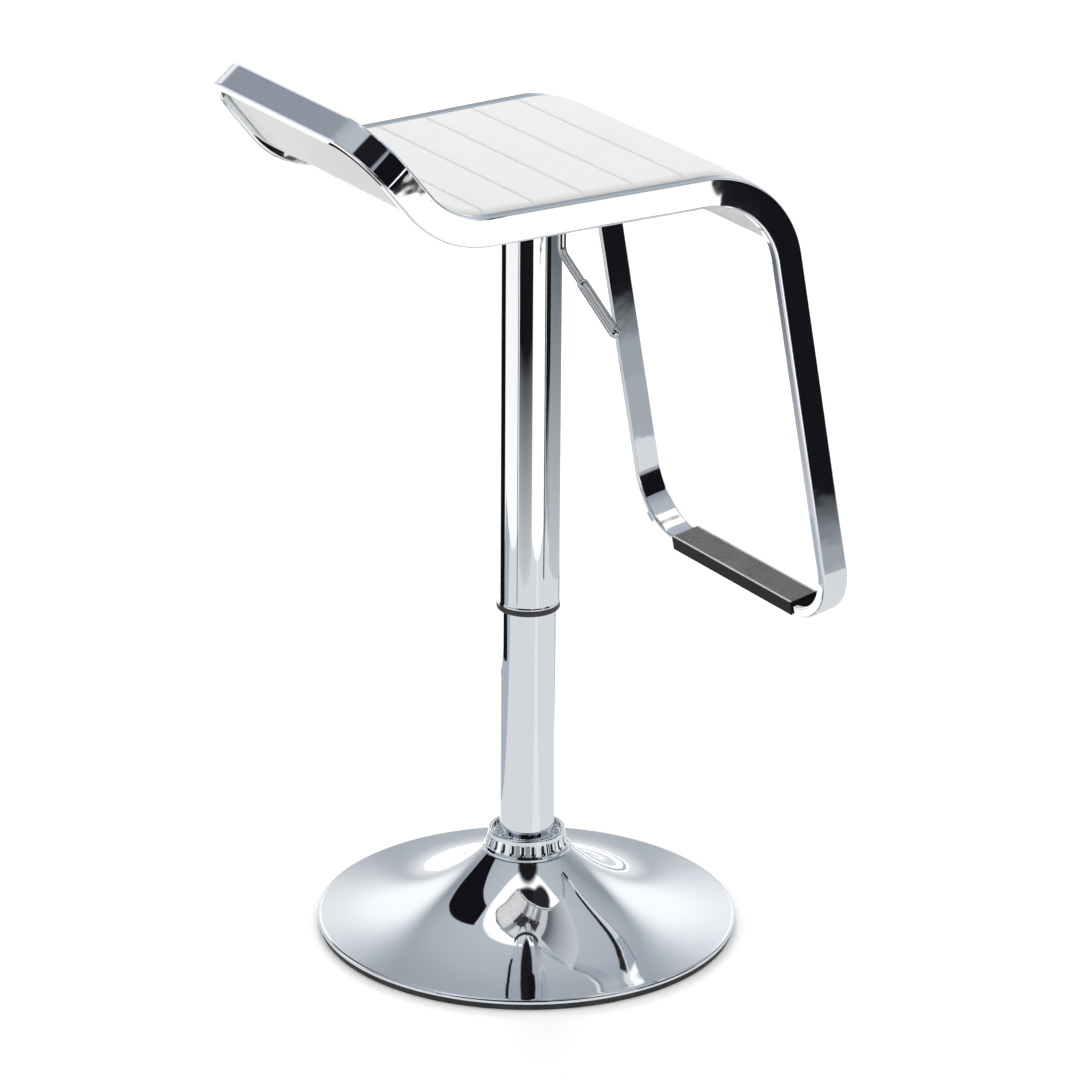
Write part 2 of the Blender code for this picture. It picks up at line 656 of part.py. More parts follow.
def fixed_column(parent):
    """Fixed tube with its end plate, guide bush and the lower bearing race."""
    bore = TUBE_RADIUS - TUBE_WALL
    mesh = turned("stand_tube", ring_profile(bore, TUBE_RADIUS, TUBE_FOOT, TUBE_TOP))
    add_object("stand_tube", mesh, "chrome", parent)
    rod_hole = ROD_RADIUS + GAP
    high = END_PLATE_FOOT + END_PLATE
    mesh = turned("tube_end_plate", ring_profile(rod_hole, bore - GAP, END_PLATE_FOOT, high), INNER_ROUND)
    add_object("tube_end_plate", mesh, "steel", parent)
    slide = CYLINDER_RADIUS + GAP
    bush = [(slide, TUBE_TOP - BUSH_LENGTH), (bore - GAP, TUBE_TOP - BUSH_LENGTH),
            (bore - GAP, TUBE_TOP + GAP), (TUBE_RADIUS, TUBE_TOP + GAP),
            (TUBE_RADIUS, TUBE_TOP + BUSH_FLANGE), (slide, TUBE_TOP + BUSH_FLANGE)]
    add_object("guide_bush", turned("guide_bush", bush), "white_plastic", parent)
    mesh = turned("lower_race", ring_profile(rod_hole, RACE_RADIUS, high + GAP,
                                             high + GAP + RACE_THICKNESS), INNER_ROUND)
    add_object("lower_race", mesh, "steel", parent)


def bearing_middle():
    """Height of the balls' centres."""
    return END_PLATE_FOOT + END_PLATE + RACE_THICKNESS + BALL_RADIUS + 2 * GAP


def ball_cage(parent):
    """Cage of the thrust bearing, with its balls held in it as one solid."""
    middle = bearing_middle()
    half = CAGE_THICKNESS / 2
    ring = ring_profile(BALL_PITCH_RADIUS - CAGE_HALF_WIDTH, BALL_PITCH_RADIUS + CAGE_HALF_WIDTH,
                        middle - half, middle + half)
    cage = add_object("ball_cage", turned("ball_cage", ring), "steel", parent)
    for k in range(BALL_COUNT):
        angle = 2 * pi * k / BALL_COUNT
        bm = bmesh.new()
        bmesh.ops.create_uvsphere(bm, u_segments=8, v_segments=6, radius=BALL_RADIUS)
        centre = (BALL_PITCH_RADIUS * cos(angle), BALL_PITCH_RADIUS * sin(angle), middle)
        ball = add_object(f"ball_{k}", mesh_from(bm, f"ball_{k}"), "steel", parent, centre)
        ball.hide_render = True
        ball.display_type = "WIRE"
        union = cage.modifiers.new(f"ball_{k}", "BOOLEAN")
        union.operation = "UNION"
        union.solver = "EXACT"
        union.object = ball


def rod_pieces(parent):
    """Piston rod and what turns with it."""
    hole = ROD_RADIUS + GAP
    clip_high = END_PLATE_FOOT - WASHER_THICKNESS - 2 * GAP
    clip_low = clip_high - CLIP_THICKNESS
    waist = ROD_RADIUS - CLIP_GROOVE
    shoulder = CYLINDER_FOOT + GLAND_LENGTH + PISTON_ABOVE_GLAND
    tip = shoulder + PISTON_LENGTH + ROD_TIP
    outline = [(0, ROD_FOOT), (ROD_RADIUS, ROD_FOOT), (ROD_RADIUS, clip_low - GAP),
               (waist, clip_low - GAP), (waist, clip_high + GAP), (ROD_RADIUS, clip_high + GAP),
               (ROD_RADIUS, shoulder), (PISTON_SPIGOT, shoulder), (PISTON_SPIGOT, tip), (0, tip)]
    add_object("piston_rod", turned("piston_rod", outline, SMALL_ROUND), "steel", parent)
    bore = CYLINDER_RADIUS - CYLINDER_WALL - GAP
    mesh = turned("piston", ring_profile(PISTON_SPIGOT + GAP, bore, shoulder + GAP,
                                         shoulder + PISTON_LENGTH), INNER_ROUND)
    add_object("piston", mesh, "steel", parent)
    race = bearing_middle() + BALL_RADIUS + GAP
    mesh = turned("upper_race", ring_profile(hole, RACE_RADIUS, race, race + RACE_THICKNESS), INNER_ROUND)
    add_object("upper_race", mesh, "steel", parent)
    seat = race + RACE_THICKNESS + GAP
    mesh = turned("rubber_buffer", ring_profile(hole, BUFFER_RADIUS, seat, seat + BUFFER_LENGTH), INNER_ROUND)
    add_object("rubber_buffer", mesh, "rubber", parent)
    mesh = turned("rod_washer", ring_profile(hole, WASHER_RADIUS, clip_high + GAP,
                                             clip_high + GAP + WASHER_THICKNESS), INNER_ROUND)
    add_object("rod_washer", mesh, "steel", parent)
    mesh = turned("retaining_clip", ring_profile(waist + GAP, CLIP_RADIUS, clip_low, clip_high), INNER_ROUND)
    clip = add_object("retaining_clip", mesh, "steel", parent)
    mouth = block("clip_mouth", (2 * CLIP_RADIUS, waist * 1.6, 4 * CLIP_THICKNESS),
                  (CLIP_RADIUS, 0, (clip_low + clip_high) / 2))
    cut(clip, add_object("clip_mouth", mouth, "steel", parent))


def gas_cylinder(parent):
    """Pressure tube with a tapered head, and the gland that closes its foot."""
    bore = CYLINDER_RADIUS - CYLINDER_WALL
    head = CYLINDER_TOP - CYLINDER_HEAD
    hole = VALVE_RADIUS + GAP
    outline = [(bore, CYLINDER_FOOT), (CYLINDER_RADIUS, CYLINDER_FOOT),
               (CYLINDER_RADIUS, CYLINDER_TOP - CONE_LENGTH),
               (CYLINDER_RADIUS - CONE_NARROWING, CYLINDER_TOP), (hole, CYLINDER_TOP),
               (hole, head), (bore - CONE_NARROWING, head), (bore - CONE_NARROWING, head - CONE_LENGTH),
               (bore, head - CONE_LENGTH - CONE_STEP)]
    add_object("gas_cylinder", turned("gas_cylinder", outline), "black_steel", parent)
    low = CYLINDER_FOOT + GLAND_DEPTH
    mesh = turned("cylinder_gland", ring_profile(ROD_RADIUS + GAP, bore - GAP, low,
                                                 low + GLAND_LENGTH), INNER_ROUND)
    add_object("cylinder_gland", mesh, "black_plastic", parent)


def cover_pieces(parent):
    """Sliding cover tube and the glide ring in its mouth."""
    bore = COVER_RADIUS - COVER_WALL
    mesh = turned("cover_tube", ring_profile(bore, COVER_RADIUS, COVER_FOOT, COVER_TOP))
    add_object("cover_tube", mesh, "chrome", parent)
    slide = TUBE_RADIUS + GAP
    lip_radius = COVER_RADIUS + GLIDE_PROUD
    foot = COVER_FOOT - GLIDE_LIP
    outline = [(slide, foot + MM), (slide + MM, foot), (lip_radius - MM, foot), (lip_radius, foot + MM),
               (lip_radius, COVER_FOOT - GAP), (bore - GAP, COVER_FOOT - GAP),
               (bore - GAP, COVER_FOOT + GLIDE_SLEEVE), (slide, COVER_FOOT + GLIDE_SLEEVE)]
    add_object("glide_ring", turned("glide_ring", outline), "black_plastic", parent)


def hub_top():
    """Top of the hub, just clear of the sloping seat plate."""
    return plate_underside() - GAP - HUB_RADIUS * sin(SEAT_RISE)


def seat_hub(parent):
    """Socket for the cylinder's cone, slotted for the lever and bored for its pin."""
    top = hub_top()
    pocket = top - POCKET_DEPTH
    cone_foot = CYLINDER_RADIUS + GAP
    outline = [(cone_foot, HUB_FOOT), (HUB_WAIST_RADIUS, HUB_FOOT), (HUB_WAIST_RADIUS, HUB_WAIST),
               (COVER_RADIUS - COVER_WALL - GAP, HUB_WAIST),
               (COVER_RADIUS - COVER_WALL - GAP, COVER_TOP + GAP), (HUB_RADIUS, COVER_TOP + GAP),
               (HUB_RADIUS, top), (POCKET_RADIUS, top), (POCKET_RADIUS, pocket),
               (cone_foot - CONE_NARROWING, pocket), (cone_foot - CONE_NARROWING, CYLINDER_TOP),
               (cone_foot, CYLINDER_TOP - CONE_LENGTH)]
    hub = add_object("seat_hub", turned("seat_hub", outline), "black_steel", parent)
    slot = block("lever_slot", (HUB_RADIUS, 2 * SLOT_HALF_WIDTH, 2 * POCKET_DEPTH),
                 (-HUB_RADIUS / 2 - SLOT_HALF_WIDTH, 0, top))
    cut(hub, add_object("lever_slot", slot, "steel", parent))
    hole = turned("pivot_hole", rod_profile(PIVOT_RADIUS + GAP, -HUB_RADIUS, HUB_RADIUS), SMALL_ROUND)
    cut(hub, add_object("pivot_hole", hole, "steel", parent,
                        (-PIVOT_REACH, 0, LEVER_HEIGHT), (pi / 2, 0, 0)))
    pin = turned("pivot_pin", rod_profile(PIVOT_RADIUS, -PIVOT_LENGTH / 2, PIVOT_LENGTH / 2), SMALL_ROUND)
    add_object("pivot_pin", pin, "steel", parent, (-PIVOT_REACH, 0, LEVER_HEIGHT), (pi / 2, 0, 0))


def valve_pin(parent):
    """Pin that stands out of the cylinder's head, with its valve head inside."""
    top = LEVER_HEIGHT - LEVER_RADIUS - VALVE_TOP_GAP
    head_high = CYLINDER_TOP - CYLINDER_HEAD - VALVE_HEAD_GAP
    outline = [(0, head_high - VALVE_HEAD), (VALVE_HEAD_RADIUS, head_high - VALVE_HEAD),
               (VALVE_HEAD_RADIUS, head_high), (VALVE_RADIUS, head_high), (VALVE_RADIUS, top), (0, top)]
    add_object("valve_pin", turned("valve_pin", outline, SMALL_ROUND), "steel", parent)


def lever_pieces(parent):
    """Release lever, cranked down clear of the frame, and its sleeve. The parent
    stands on the pivot's axis."""
    pivot = Vector((-PIVOT_REACH, 0, LEVER_HEIGHT))
    slant = Vector((-cos(LEVER_SLOPE), 0, -sin(LEVER_SLOPE)))
    knee = Vector((-LEVER_DROP_REACH, 0, LEVER_KNEE_HEIGHT))
    corners = [Vector((LEVER_INNER, 0, LEVER_HEIGHT)), Vector((-LEVER_DROP_REACH, 0, LEVER_HEIGHT)),
               knee, knee + slant * LEVER_SLANT]
    path = [point - pivot for point in rounded_path(corners, LEVER_BEND_RADIUS)]
    rod = add_object("lever_rod", swept_tube("lever_rod", path, LEVER_RADIUS, SMALL_ROUND), "chrome", parent)
    hole = turned("lever_hole", rod_profile(PIVOT_RADIUS + GAP, -2 * LEVER_RADIUS, 2 * LEVER_RADIUS),
                  SMALL_ROUND)
    cut(rod, add_object("lever_hole", hole, "steel", parent, rotation=(pi / 2, 0, 0)))
    inner = GRIP_RADIUS - GRIP_WALL
    tip = GRIP_LENGTH
    dome = [(GRIP_RADIUS * cos(a), tip - GRIP_RADIUS + GRIP_RADIUS * sin(a)) for a in spread(0, pi / 2, 4)]
    dome[-1] = (0, tip)
    outline = [(inner, 0), (GRIP_RADIUS - GRIP_CHAMFER, 0), (GRIP_RADIUS, GRIP_CHAMFER)] + dome + [
        (0, tip - GRIP_OVERHANG), (inner, tip - GRIP_OVERHANG)]
    end = path[-1] + slant * (GRIP_OVERHANG + GAP)
    start = end - slant * GRIP_LENGTH
    add_object("lever_grip", turned("lever_grip", outline, SMALL_ROUND), "chrome", parent,
               start, (0, -(pi / 2 + LEVER_SLOPE), 0))


# ------------------------------------------------------------------------ main

def column_place():
    """The column's Y, which puts the middle of the stool's outline on the origin."""
    reach, _, slope = side_line(BACK_END)
    back = (reach - cos(slope) * (BACK_CORNER_RADIUS + STRIP_THICKNESS / 2)
            + sin(slope) * (STRIP_WIDTH / 2 - STRIP_EDGE))
    middle, down, across = foot_bar()
    edge = STRIP_WIDTH / 2 + GAP + TREAD_SIDE
    lip = STRIP_THICKNESS / 2 - TREAD_LIP_STOP
    front = -(middle + across * edge + down * lip).y
    return (front + back) / 2


def main():
    """Build the stool at rest, with the seat raised."""
    clear_scene()
    column = add_empty("column", location=(0, column_place(), 0))
    base_pieces(column)
    fixed_column(column)
    ball_cage(column)
    rod_pieces(column)
    seat = add_empty("seat", column)
    gas_cylinder(seat)
    cover_pieces(seat)
    seat_hub(seat)
    valve_pin(seat)
    frame_loop(seat)
    seat_pieces(seat)
    footrest_tread(seat)
    lever_pieces(add_empty("lever", seat, (-PIVOT_REACH, 0, LEVER_HEIGHT)))


main()
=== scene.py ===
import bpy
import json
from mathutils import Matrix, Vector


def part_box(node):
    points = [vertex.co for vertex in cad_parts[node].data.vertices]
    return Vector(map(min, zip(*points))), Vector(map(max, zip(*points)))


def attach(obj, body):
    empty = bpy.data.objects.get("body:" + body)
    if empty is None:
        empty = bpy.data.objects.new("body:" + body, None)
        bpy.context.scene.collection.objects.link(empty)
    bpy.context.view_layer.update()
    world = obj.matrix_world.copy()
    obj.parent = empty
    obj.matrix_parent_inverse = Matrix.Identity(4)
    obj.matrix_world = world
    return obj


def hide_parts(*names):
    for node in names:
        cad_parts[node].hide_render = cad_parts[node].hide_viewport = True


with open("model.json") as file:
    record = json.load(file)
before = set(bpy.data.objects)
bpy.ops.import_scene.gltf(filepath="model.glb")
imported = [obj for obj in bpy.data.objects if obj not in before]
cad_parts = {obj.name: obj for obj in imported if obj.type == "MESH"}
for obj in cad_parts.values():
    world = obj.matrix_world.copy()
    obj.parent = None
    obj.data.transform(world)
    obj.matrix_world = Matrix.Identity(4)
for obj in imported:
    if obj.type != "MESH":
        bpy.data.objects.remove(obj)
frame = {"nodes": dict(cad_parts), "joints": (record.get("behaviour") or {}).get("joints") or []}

"""Looks of an adjustable swivel bar stool: chromed trumpet base and column, a bent
flat strip that is seat frame, low back and footrest in one, and a sewn white pad.

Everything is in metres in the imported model's frame: +Z up, the sitter faces -Y.
"Reach" means forward of the column, towards -Y. Offsets "out" are square to the
seat's side line, upwards on the flat of the seat.
"""

import json
import logging
from dataclasses import dataclass, field
from enum import Enum
from math import acos, atan2, cos, exp, pi, radians, sin, sqrt
from typing import Callable, Sequence

import bmesh
import bpy
from mathutils import Matrix, Vector, noise

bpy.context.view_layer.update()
MM = 0.001
TUBE_GAP = 0.3 * MM
log = logging.getLogger("stool")

Colour = tuple[float, float, float]
Corners = Sequence[tuple[float, float, float]]
Outline = list[tuple[float, float]]
Shape = tuple[list[Vector], list[list[int]]]
Station = tuple[Vector, Vector, Vector]
Socket = bpy.types.NodeSocket


class Body(Enum):
    """The moving groups of the stool."""

    BASE = "base"
    SEAT = "seat"
    LEVER = "lever"


class Slot(Enum):
    """The record's material slots, listed here but not used by any piece."""

    CHROME = "chrome"
    RUBBER = "rubber"
    BLACK_PLASTIC = "black_plastic"
    LEATHER = "white_leather"


# ------------------------------------------------------------------- finishes


class Shader:
    """A Principled material while its nodes are being wired."""

    def __init__(self, name: str) -> None:
        """Start an empty material.

        Args:
            name: the material's name.
        """
        self.material = bpy.data.materials.new(name)
        self.material.use_nodes = True
        self.tree = self.material.node_tree
        self.surface = self.tree.nodes["Principled BSDF"]

    def node(self, kind: str, **values: object) -> bpy.types.Node:
        """Add a node.

        Args:
            kind: the node's Blender type.
            values: properties of the node, set by name.

        Returns:
            The new node.
        """
        made = self.tree.nodes.new(kind)
        for key, value in values.items():
            setattr(made, key, value)
        return made

    def join(self, source: Socket, target: Socket) -> None:
        """Wire one socket to another."""
        self.tree.links.new(source, target)

    def fixed(self, **values: object) -> None:
        """Set constants on the shader's own sockets.

        Args:
            values: socket names, with underscores for spaces, and their values.
        """
        for key, value in values.items():
            self.surface.inputs[key.replace("_", " ")].default_value = value

    def place(self, stretch: Sequence[float] = (1, 1, 1)) -> Socket:
        """The point on the piece, in metres.

        Args:
            stretch: scale of each axis.

        Returns:
            The vector socket.
        """
        coords = self.node("ShaderNodeTexCoord")
        mapping = self.node("ShaderNodeMapping")
        mapping.inputs["Scale"].default_value = stretch
        self.join(coords.outputs["Object"], mapping.inputs["Vector"])
        return mapping.outputs["Vector"]

    def noise(self, vector: Socket, scale: float, detail: float = 2.0,
              roughness: float = 0.5) -> Socket:
        """Cloudy noise.

        Args:
            vector: where to read it.
            scale: cycles a metre.
            detail: octaves.
            roughness: weight of the finer octaves.

        Returns:
            The factor socket.
        """
        made = self.node("ShaderNodeTexNoise")
        made.inputs["Scale"].default_value = scale
        made.inputs["Detail"].default_value = detail
        made.inputs["Roughness"].default_value = roughness
        self.join(vector, made.inputs["Vector"])
        return made.outputs["Fac"]

    def cells(self, vector: Socket, scale: float,
              feature: str = "DISTANCE_TO_EDGE") -> Socket:
        """Cell pattern.

        Args:
            vector: where to read it.
            scale: cells a metre.
            feature: which distance of the pattern.

        Returns:
            The distance socket.
        """
        made = self.node("ShaderNodeTexVoronoi", feature=feature)
        made.inputs["Scale"].default_value = scale
        self.join(vector, made.inputs["Vector"])
        return made.outputs["Distance"]

    def between(self, factor: Socket, low: float, high: float,
                source: tuple[float, float] = (0.0, 1.0)) -> Socket:
        """A factor taken to another range.

        Args:
            factor: the value to convert.
            low: the result at the start of the source range.
            high: the result at its end.
            source: the range that is read.

        Returns:
            The result socket.
        """
        made = self.node("ShaderNodeMapRange")
        made.inputs["From Min"].default_value = source[0]
        made.inputs["From Max"].default_value = source[1]
        made.inputs["To Min"].default_value = low
        made.inputs["To Max"].default_value = high
        self.join(factor, made.inputs["Value"])
        return made.outputs["Result"]

    def mix(self, factor: Socket, first: Colour, second: Colour) -> Socket:
        """Two colours mixed by a factor.

        Args:
            factor: 0 for the first colour, 1 for the second.
            first: colour at 0.
            second: colour at 1.

        Returns:
            The colour socket.
        """
        made = self.node("ShaderNodeMix", data_type="RGBA")
        for socket, colour in zip([i for i in made.inputs if i.type == "RGBA"], (first, second)):
            socket.default_value = (*colour, 1.0)
        self.join(factor, made.inputs["Factor"])
        return next(o for o in made.outputs if o.type == "RGBA")

    def relief(self, height: Socket, depth: float, strength: float = 1.0,
               under: Socket | None = None) -> Socket:
        """A bump.

        Args:
            height: the height pattern.
            depth: metres from its lowest to its highest.
            strength: how much of it shows.
            under: a bump that this one lies on.

        Returns:
            The normal socket.
        """
        made = self.node("ShaderNodeBump")
        made.inputs["Distance"].default_value = depth
        made.inputs["Strength"].default_value = strength
        self.join(height, made.inputs["Height"])
        if under is not None:
            self.join(under, made.inputs["Normal"])
        return made.outputs["Normal"]

    def wire(self, **sockets: Socket) -> None:
        """Wire patterns into the shader.

        Args:
            sockets: the shader's socket names, with underscores for spaces.
        """
        for key, socket in sockets.items():
            self.join(socket, self.surface.inputs[key.replace("_", " ")])


@dataclass(frozen=True)
class Finish:
    """A named surface finish, made into a material once."""

    name: str

    def material(self) -> bpy.types.Material:
        """The finish as a material.

        Returns:
            The material, made on first use.
        """
        found = bpy.data.materials.get(self.name)
        if found:
            return found
        shader = Shader(self.name)
        self.paint(shader)
        return shader.material

    def paint(self, shader: Shader) -> None:
        """Wire this finish's nodes.

        Args:
            shader: the material to fill.
        """
        raise NotImplementedError


@dataclass(frozen=True)
class Chrome(Finish):
    """Bright chrome plate over polished steel, very slightly wavy."""

    tint: Colour = (0.90, 0.915, 0.93)
    wave_length: float = 25 * MM
    wave_height: float = 0.05 * MM

    def paint(self, shader: Shader) -> None:
        """Wire the plate's haze and waviness.

        Args:
            shader: the material to fill.
        """
        where = shader.place()
        haze = shader.noise(where, 14.0, 3.0)
        smear = shader.noise(shader.place((1, 1, 0.2)), 240.0, 3.0)
        shader.fixed(Metallic=1.0)
        dull = tuple(0.965 * c for c in self.tint)
        shader.wire(
            Base_Color=shader.mix(haze, dull, self.tint),
            Roughness=shader.between(smear, 0.018, 0.05),
            Normal=shader.relief(shader.noise(where, 1 / self.wave_length, 1.0), self.wave_height))


@dataclass(frozen=True)
class Leather(Finish):
    """Grained white imitation leather with a soft sheen."""

    shade: Colour = (0.70, 0.70, 0.70)
    grain: float = 1.5 * MM
    depth: float = 0.16 * MM

    def paint(self, shader: Shader) -> None:
        """Wire the grain, pores and faint clouding.

        Args:
            shader: the material to fill.
        """
        where = shader.place()
        cloud = shader.noise(where, 16.0, 4.0)
        cells = shader.cells(where, 1 / self.grain)
        pores = shader.noise(where, 2600.0, 3.0, 0.6)
        creases = shader.noise(where, 90.0, 5.0, 0.65)
        first = shader.relief(creases, 0.5 * MM, 0.35)
        second = shader.relief(shader.between(cells, 0.0, 1.0, (0.0, 0.35)), self.depth, 0.8, first)
        shader.fixed(Sheen_Weight=0.12, Sheen_Roughness=0.4)
        warm = tuple(0.955 * c for c in self.shade)
        shader.wire(
            Base_Color=shader.mix(cloud, warm, self.shade),
            Roughness=shader.between(cloud, 0.42, 0.56),
            Normal=shader.relief(pores, 0.05 * MM, 0.5, second))


@dataclass(frozen=True)
class Thread(Finish):
    """Twisted sewing thread."""

    shade: Colour = (0.74, 0.74, 0.735)

    def paint(self, shader: Shader) -> None:
        """Wire the twist.

        Args:
            shader: the material to fill.
        """
        twist = shader.noise(shader.place((1, 3, 3)), 1500.0, 2.0)
        dark = tuple(0.85 * c for c in self.shade)
        shader.wire(Base_Color=shader.mix(twist, dark, self.shade),
                    Roughness=shader.between(twist, 0.55, 0.8),
                    Normal=shader.relief(twist, 0.08 * MM))


@dataclass(frozen=True)
class Rubber(Finish):
    """Moulded black rubber with a fine matt skin."""

    shade: Colour = (0.018, 0.018, 0.02)
    worn: Colour = (0.05, 0.05, 0.052)
    gloss: float = 0.5
    shine: float = 0.3

    def paint(self, shader: Shader) -> None:
        """Wire the skin and its light dusting.

        Args:
            shader: the material to fill.
        """
        where = shader.place()
        shader.fixed(Specular_IOR_Level=self.shine)
        dust = shader.noise(where, 38.0, 5.0, 0.6)
        skin = shader.noise(where, 1900.0, 2.0)
        shader.wire(Base_Color=shader.mix(shader.between(dust, 0, 1, (0.4, 0.75)), self.shade, self.worn),
                    Roughness=shader.between(dust, self.gloss - 0.08, self.gloss + 0.14),
                    Normal=shader.relief(skin, 0.05 * MM, 0.6))


@dataclass(frozen=True)
class Plastic(Finish):
    """Moulded plastic with a fine spark-eroded grain."""

    shade: Colour = (0.02, 0.02, 0.022)

    def paint(self, shader: Shader) -> None:
        """Wire the grain.

        Args:
            shader: the material to fill.
        """
        where = shader.place()
        cloud = shader.noise(where, 60.0, 3.0)
        light = tuple(min(1.0, 1.12 * c + 0.004) for c in self.shade)
        shader.wire(Base_Color=shader.mix(cloud, self.shade, light),
                    Roughness=shader.between(cloud, 0.34, 0.48),
                    Normal=shader.relief(shader.noise(where, 2200.0, 2.0), 0.03 * MM, 0.5))


@dataclass(frozen=True)
class MachinedSteel(Finish):
    """Bare turned or rolled steel with fine tool lines."""

    shade: Colour = (0.50, 0.51, 0.53)

    def paint(self, shader: Shader) -> None:
        """Wire the tool lines and faint stains.

        Args:
            shader: the material to fill.
        """
        lines = shader.noise(shader.place((0.05, 0.05, 1)), 1800.0, 2.0)
        stain = shader.noise(shader.place(), 30.0, 5.0, 0.6)
        dark = tuple(0.72 * c for c in self.shade)
        shader.fixed(Metallic=1.0)
        shader.wire(Base_Color=shader.mix(stain, dark, self.shade),
                    Roughness=shader.between(lines, 0.26, 0.44),
                    Normal=shader.relief(lines, 0.03 * MM, 0.5))


@dataclass(frozen=True)
class PowderCoat(Finish):
    """Black powder coat with its orange-peel skin."""

    shade: Colour = (0.022, 0.022, 0.025)

    def paint(self, shader: Shader) -> None:
        """Wire the orange peel.

        Args:
            shader: the material to fill.
        """
        where = shader.place()
        peel = shader.noise(where, 420.0, 2.0)
        wear = shader.noise(where, 45.0, 5.0, 0.65)
        light = tuple(c + 0.02 for c in self.shade)
        shader.wire(Base_Color=shader.mix(shader.between(wear, 0, 1, (0.5, 0.8)), self.shade, light),
                    Roughness=shader.between(wear, 0.3, 0.48),
                    Normal=shader.relief(peel, 0.12 * MM, 0.5))


CHROME = Chrome("polished_chrome")
STRIP_CHROME = Chrome("rolled_strip_chrome", wave_length=16 * MM, wave_height=0.06 * MM)
# Near-black chrome for the collar's slot floors: painted shade standing in for the dark inside the slots.
SLOT_PAINTED_SHADE = Chrome("collar_slot_painted_shade", tint=(0.035, 0.037, 0.042))
DARK_CHROME = Chrome("smoked_lever_chrome", tint=(0.62, 0.63, 0.65))
LEATHER = Leather("white_grained_leather")
UNDER_LEATHER = Leather("wrapped_leather", shade=(0.72, 0.72, 0.72))
THREAD = Thread("white_thread")
RUBBER = Rubber("moulded_rubber")
TREAD_RUBBER = Rubber("tread_rubber", shade=(0.15, 0.152, 0.157), worn=(0.20, 0.202, 0.207), gloss=0.46)
# Pale copy of the tread rubber for the flat borders beside the ribs: a painted highlight.
TREAD_PAINTED_HIGHLIGHT = Rubber("tread_border_painted_highlight", shade=(0.46, 0.465, 0.47), worn=(0.56, 0.565, 0.57), gloss=0.4,
                      shine=0.5)
# Near-black copy of the tread rubber for its sides, lips and groove floors: painted shade.
TREAD_PAINTED_SHADE = Rubber("tread_rubber_painted_shade", shade=(0.006, 0.006, 0.007), worn=(0.014, 0.014, 0.015), shine=0.1)
BLACK_PLASTIC = Plastic("black_glide_plastic")
WHITE_PLASTIC = Plastic("white_bush_plastic", shade=(0.74, 0.73, 0.70))
STEEL = MachinedSteel("machined_steel")
POWDER_COAT = PowderCoat("black_powder_coat")


# ------------------------------------------------------------- shape builders


def new_piece(name: str, shape: Shape, finish: Finish, body: Body, replaces: Sequence[str] = (),
              crease: float = radians(40), turn: bool = True) -> bpy.types.Object:
    """Make a piece of the stool from points and faces.

    Args:
        name: the piece's name.
        shape: its points, and the point numbers of each face.
        finish: its surface finish.
        body: the moving group that it rides on.
        replaces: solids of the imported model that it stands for.
        crease: edges sharper than this stay sharp.
        turn: whether its faces are turned outwards.

    Returns:
        The new object.
    """
    verts, faces = shape
    mesh = bpy.data.meshes.new(name)
    mesh.from_pydata([tuple(v) for v in verts], [], [tuple(f) for f in faces])
    mesh.update()
    mesh.shade_smooth()
    mesh.set_sharp_from_angle(angle=crease)
    mesh.materials.append(finish.material())
    piece = bpy.data.objects.new(name, mesh)
    bpy.context.scene.collection.objects.link(piece)
    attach(piece, body.value)
    if replaces:
        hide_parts(*replaces)
    if turn:
        face_outwards(piece)
    log.info("%s: %d faces, rides on %s", name, len(mesh.polygons), body.value)
    return piece


def spread(start: float, end: float, steps: int) -> list[float]:
    """Evenly spaced values.

    Args:
        start: first value.
        end: last value.
        steps: number of steps between them.

    Returns:
        The values, both ends included.
    """
    return [start + (end - start) * k / steps for k in range(steps + 1)]


def rounded_outline(corners: Sequence[tuple[float, float, float]], steps: int = 4,
                    closed: bool = True, hold: float = 0.0) -> Outline:
    """An outline whose corners are arcs.

    Args:
        corners: across, up and corner radius of each corner.
        steps: straight bits in each arc.
        closed: whether the last corner joins the first.
        hold: distance past each arc of an extra point that keeps the straight flat.

    Returns:
        The outline's points.
    """
    points: Outline = []
    count = len(corners)
    for i, (x, y, radius) in enumerate(corners):
        here = Vector((x, y))
        if radius <= 0 or (not closed and i in (0, count - 1)):
            points.append((x, y))
            continue
        before = (Vector(corners[i - 1][:2]) - here).normalized()
        after = (Vector(corners[(i + 1) % count][:2]) - here).normalized()
        half = acos(max(-1.0, min(1.0, before.dot(after)))) / 2
        reach = radius / (sin(half) / cos(half))
        centre = here + (before + after).normalized() * (radius / sin(half))
        start, end = here + before * reach - centre, here + after * reach - centre
        sweep = acos(max(-1.0, min(1.0, start.dot(end) / radius ** 2)))
        if hold:
            points.append(tuple(here + before * (reach + hold)))
        for k in range(steps + 1):
            share = k / steps
            arm = (start * sin((1 - share) * sweep) + end * sin(share * sweep)) / sin(sweep)
            points.append(tuple(centre + arm))
        if hold:
            points.append(tuple(here + after * (reach + hold)))
    return points


def lathe(profile: Outline, segments: int, centre: Vector,
          ripple: Callable[[float, float], float] | None = None) -> Shape:
    """Spin a closed outline about the column.

    Args:
        profile: radius and height of each point, going round anticlockwise.
        segments: flats in a full turn.
        centre: a point on the axis; only its X and Y are used.
        ripple: change of radius for an angle and a height.

    Returns:
        Points and faces.
    """
    verts: list[Vector] = []
    for k in range(segments):
        angle = 2 * pi * k / segments
        for radius, height in profile:
            r = radius + (ripple(angle, height) if ripple else 0.0)
            verts.append(Vector((centre.x + r * cos(angle), centre.y + r * sin(angle), height)))
    count = len(profile)
    faces = []
    for k in range(segments):
        here, after = k * count, ((k + 1) % segments) * count
        for i in range(count):
            j = (i + 1) % count
            faces.append([here + i, after + i, after + j, here + j])
    return verts, faces


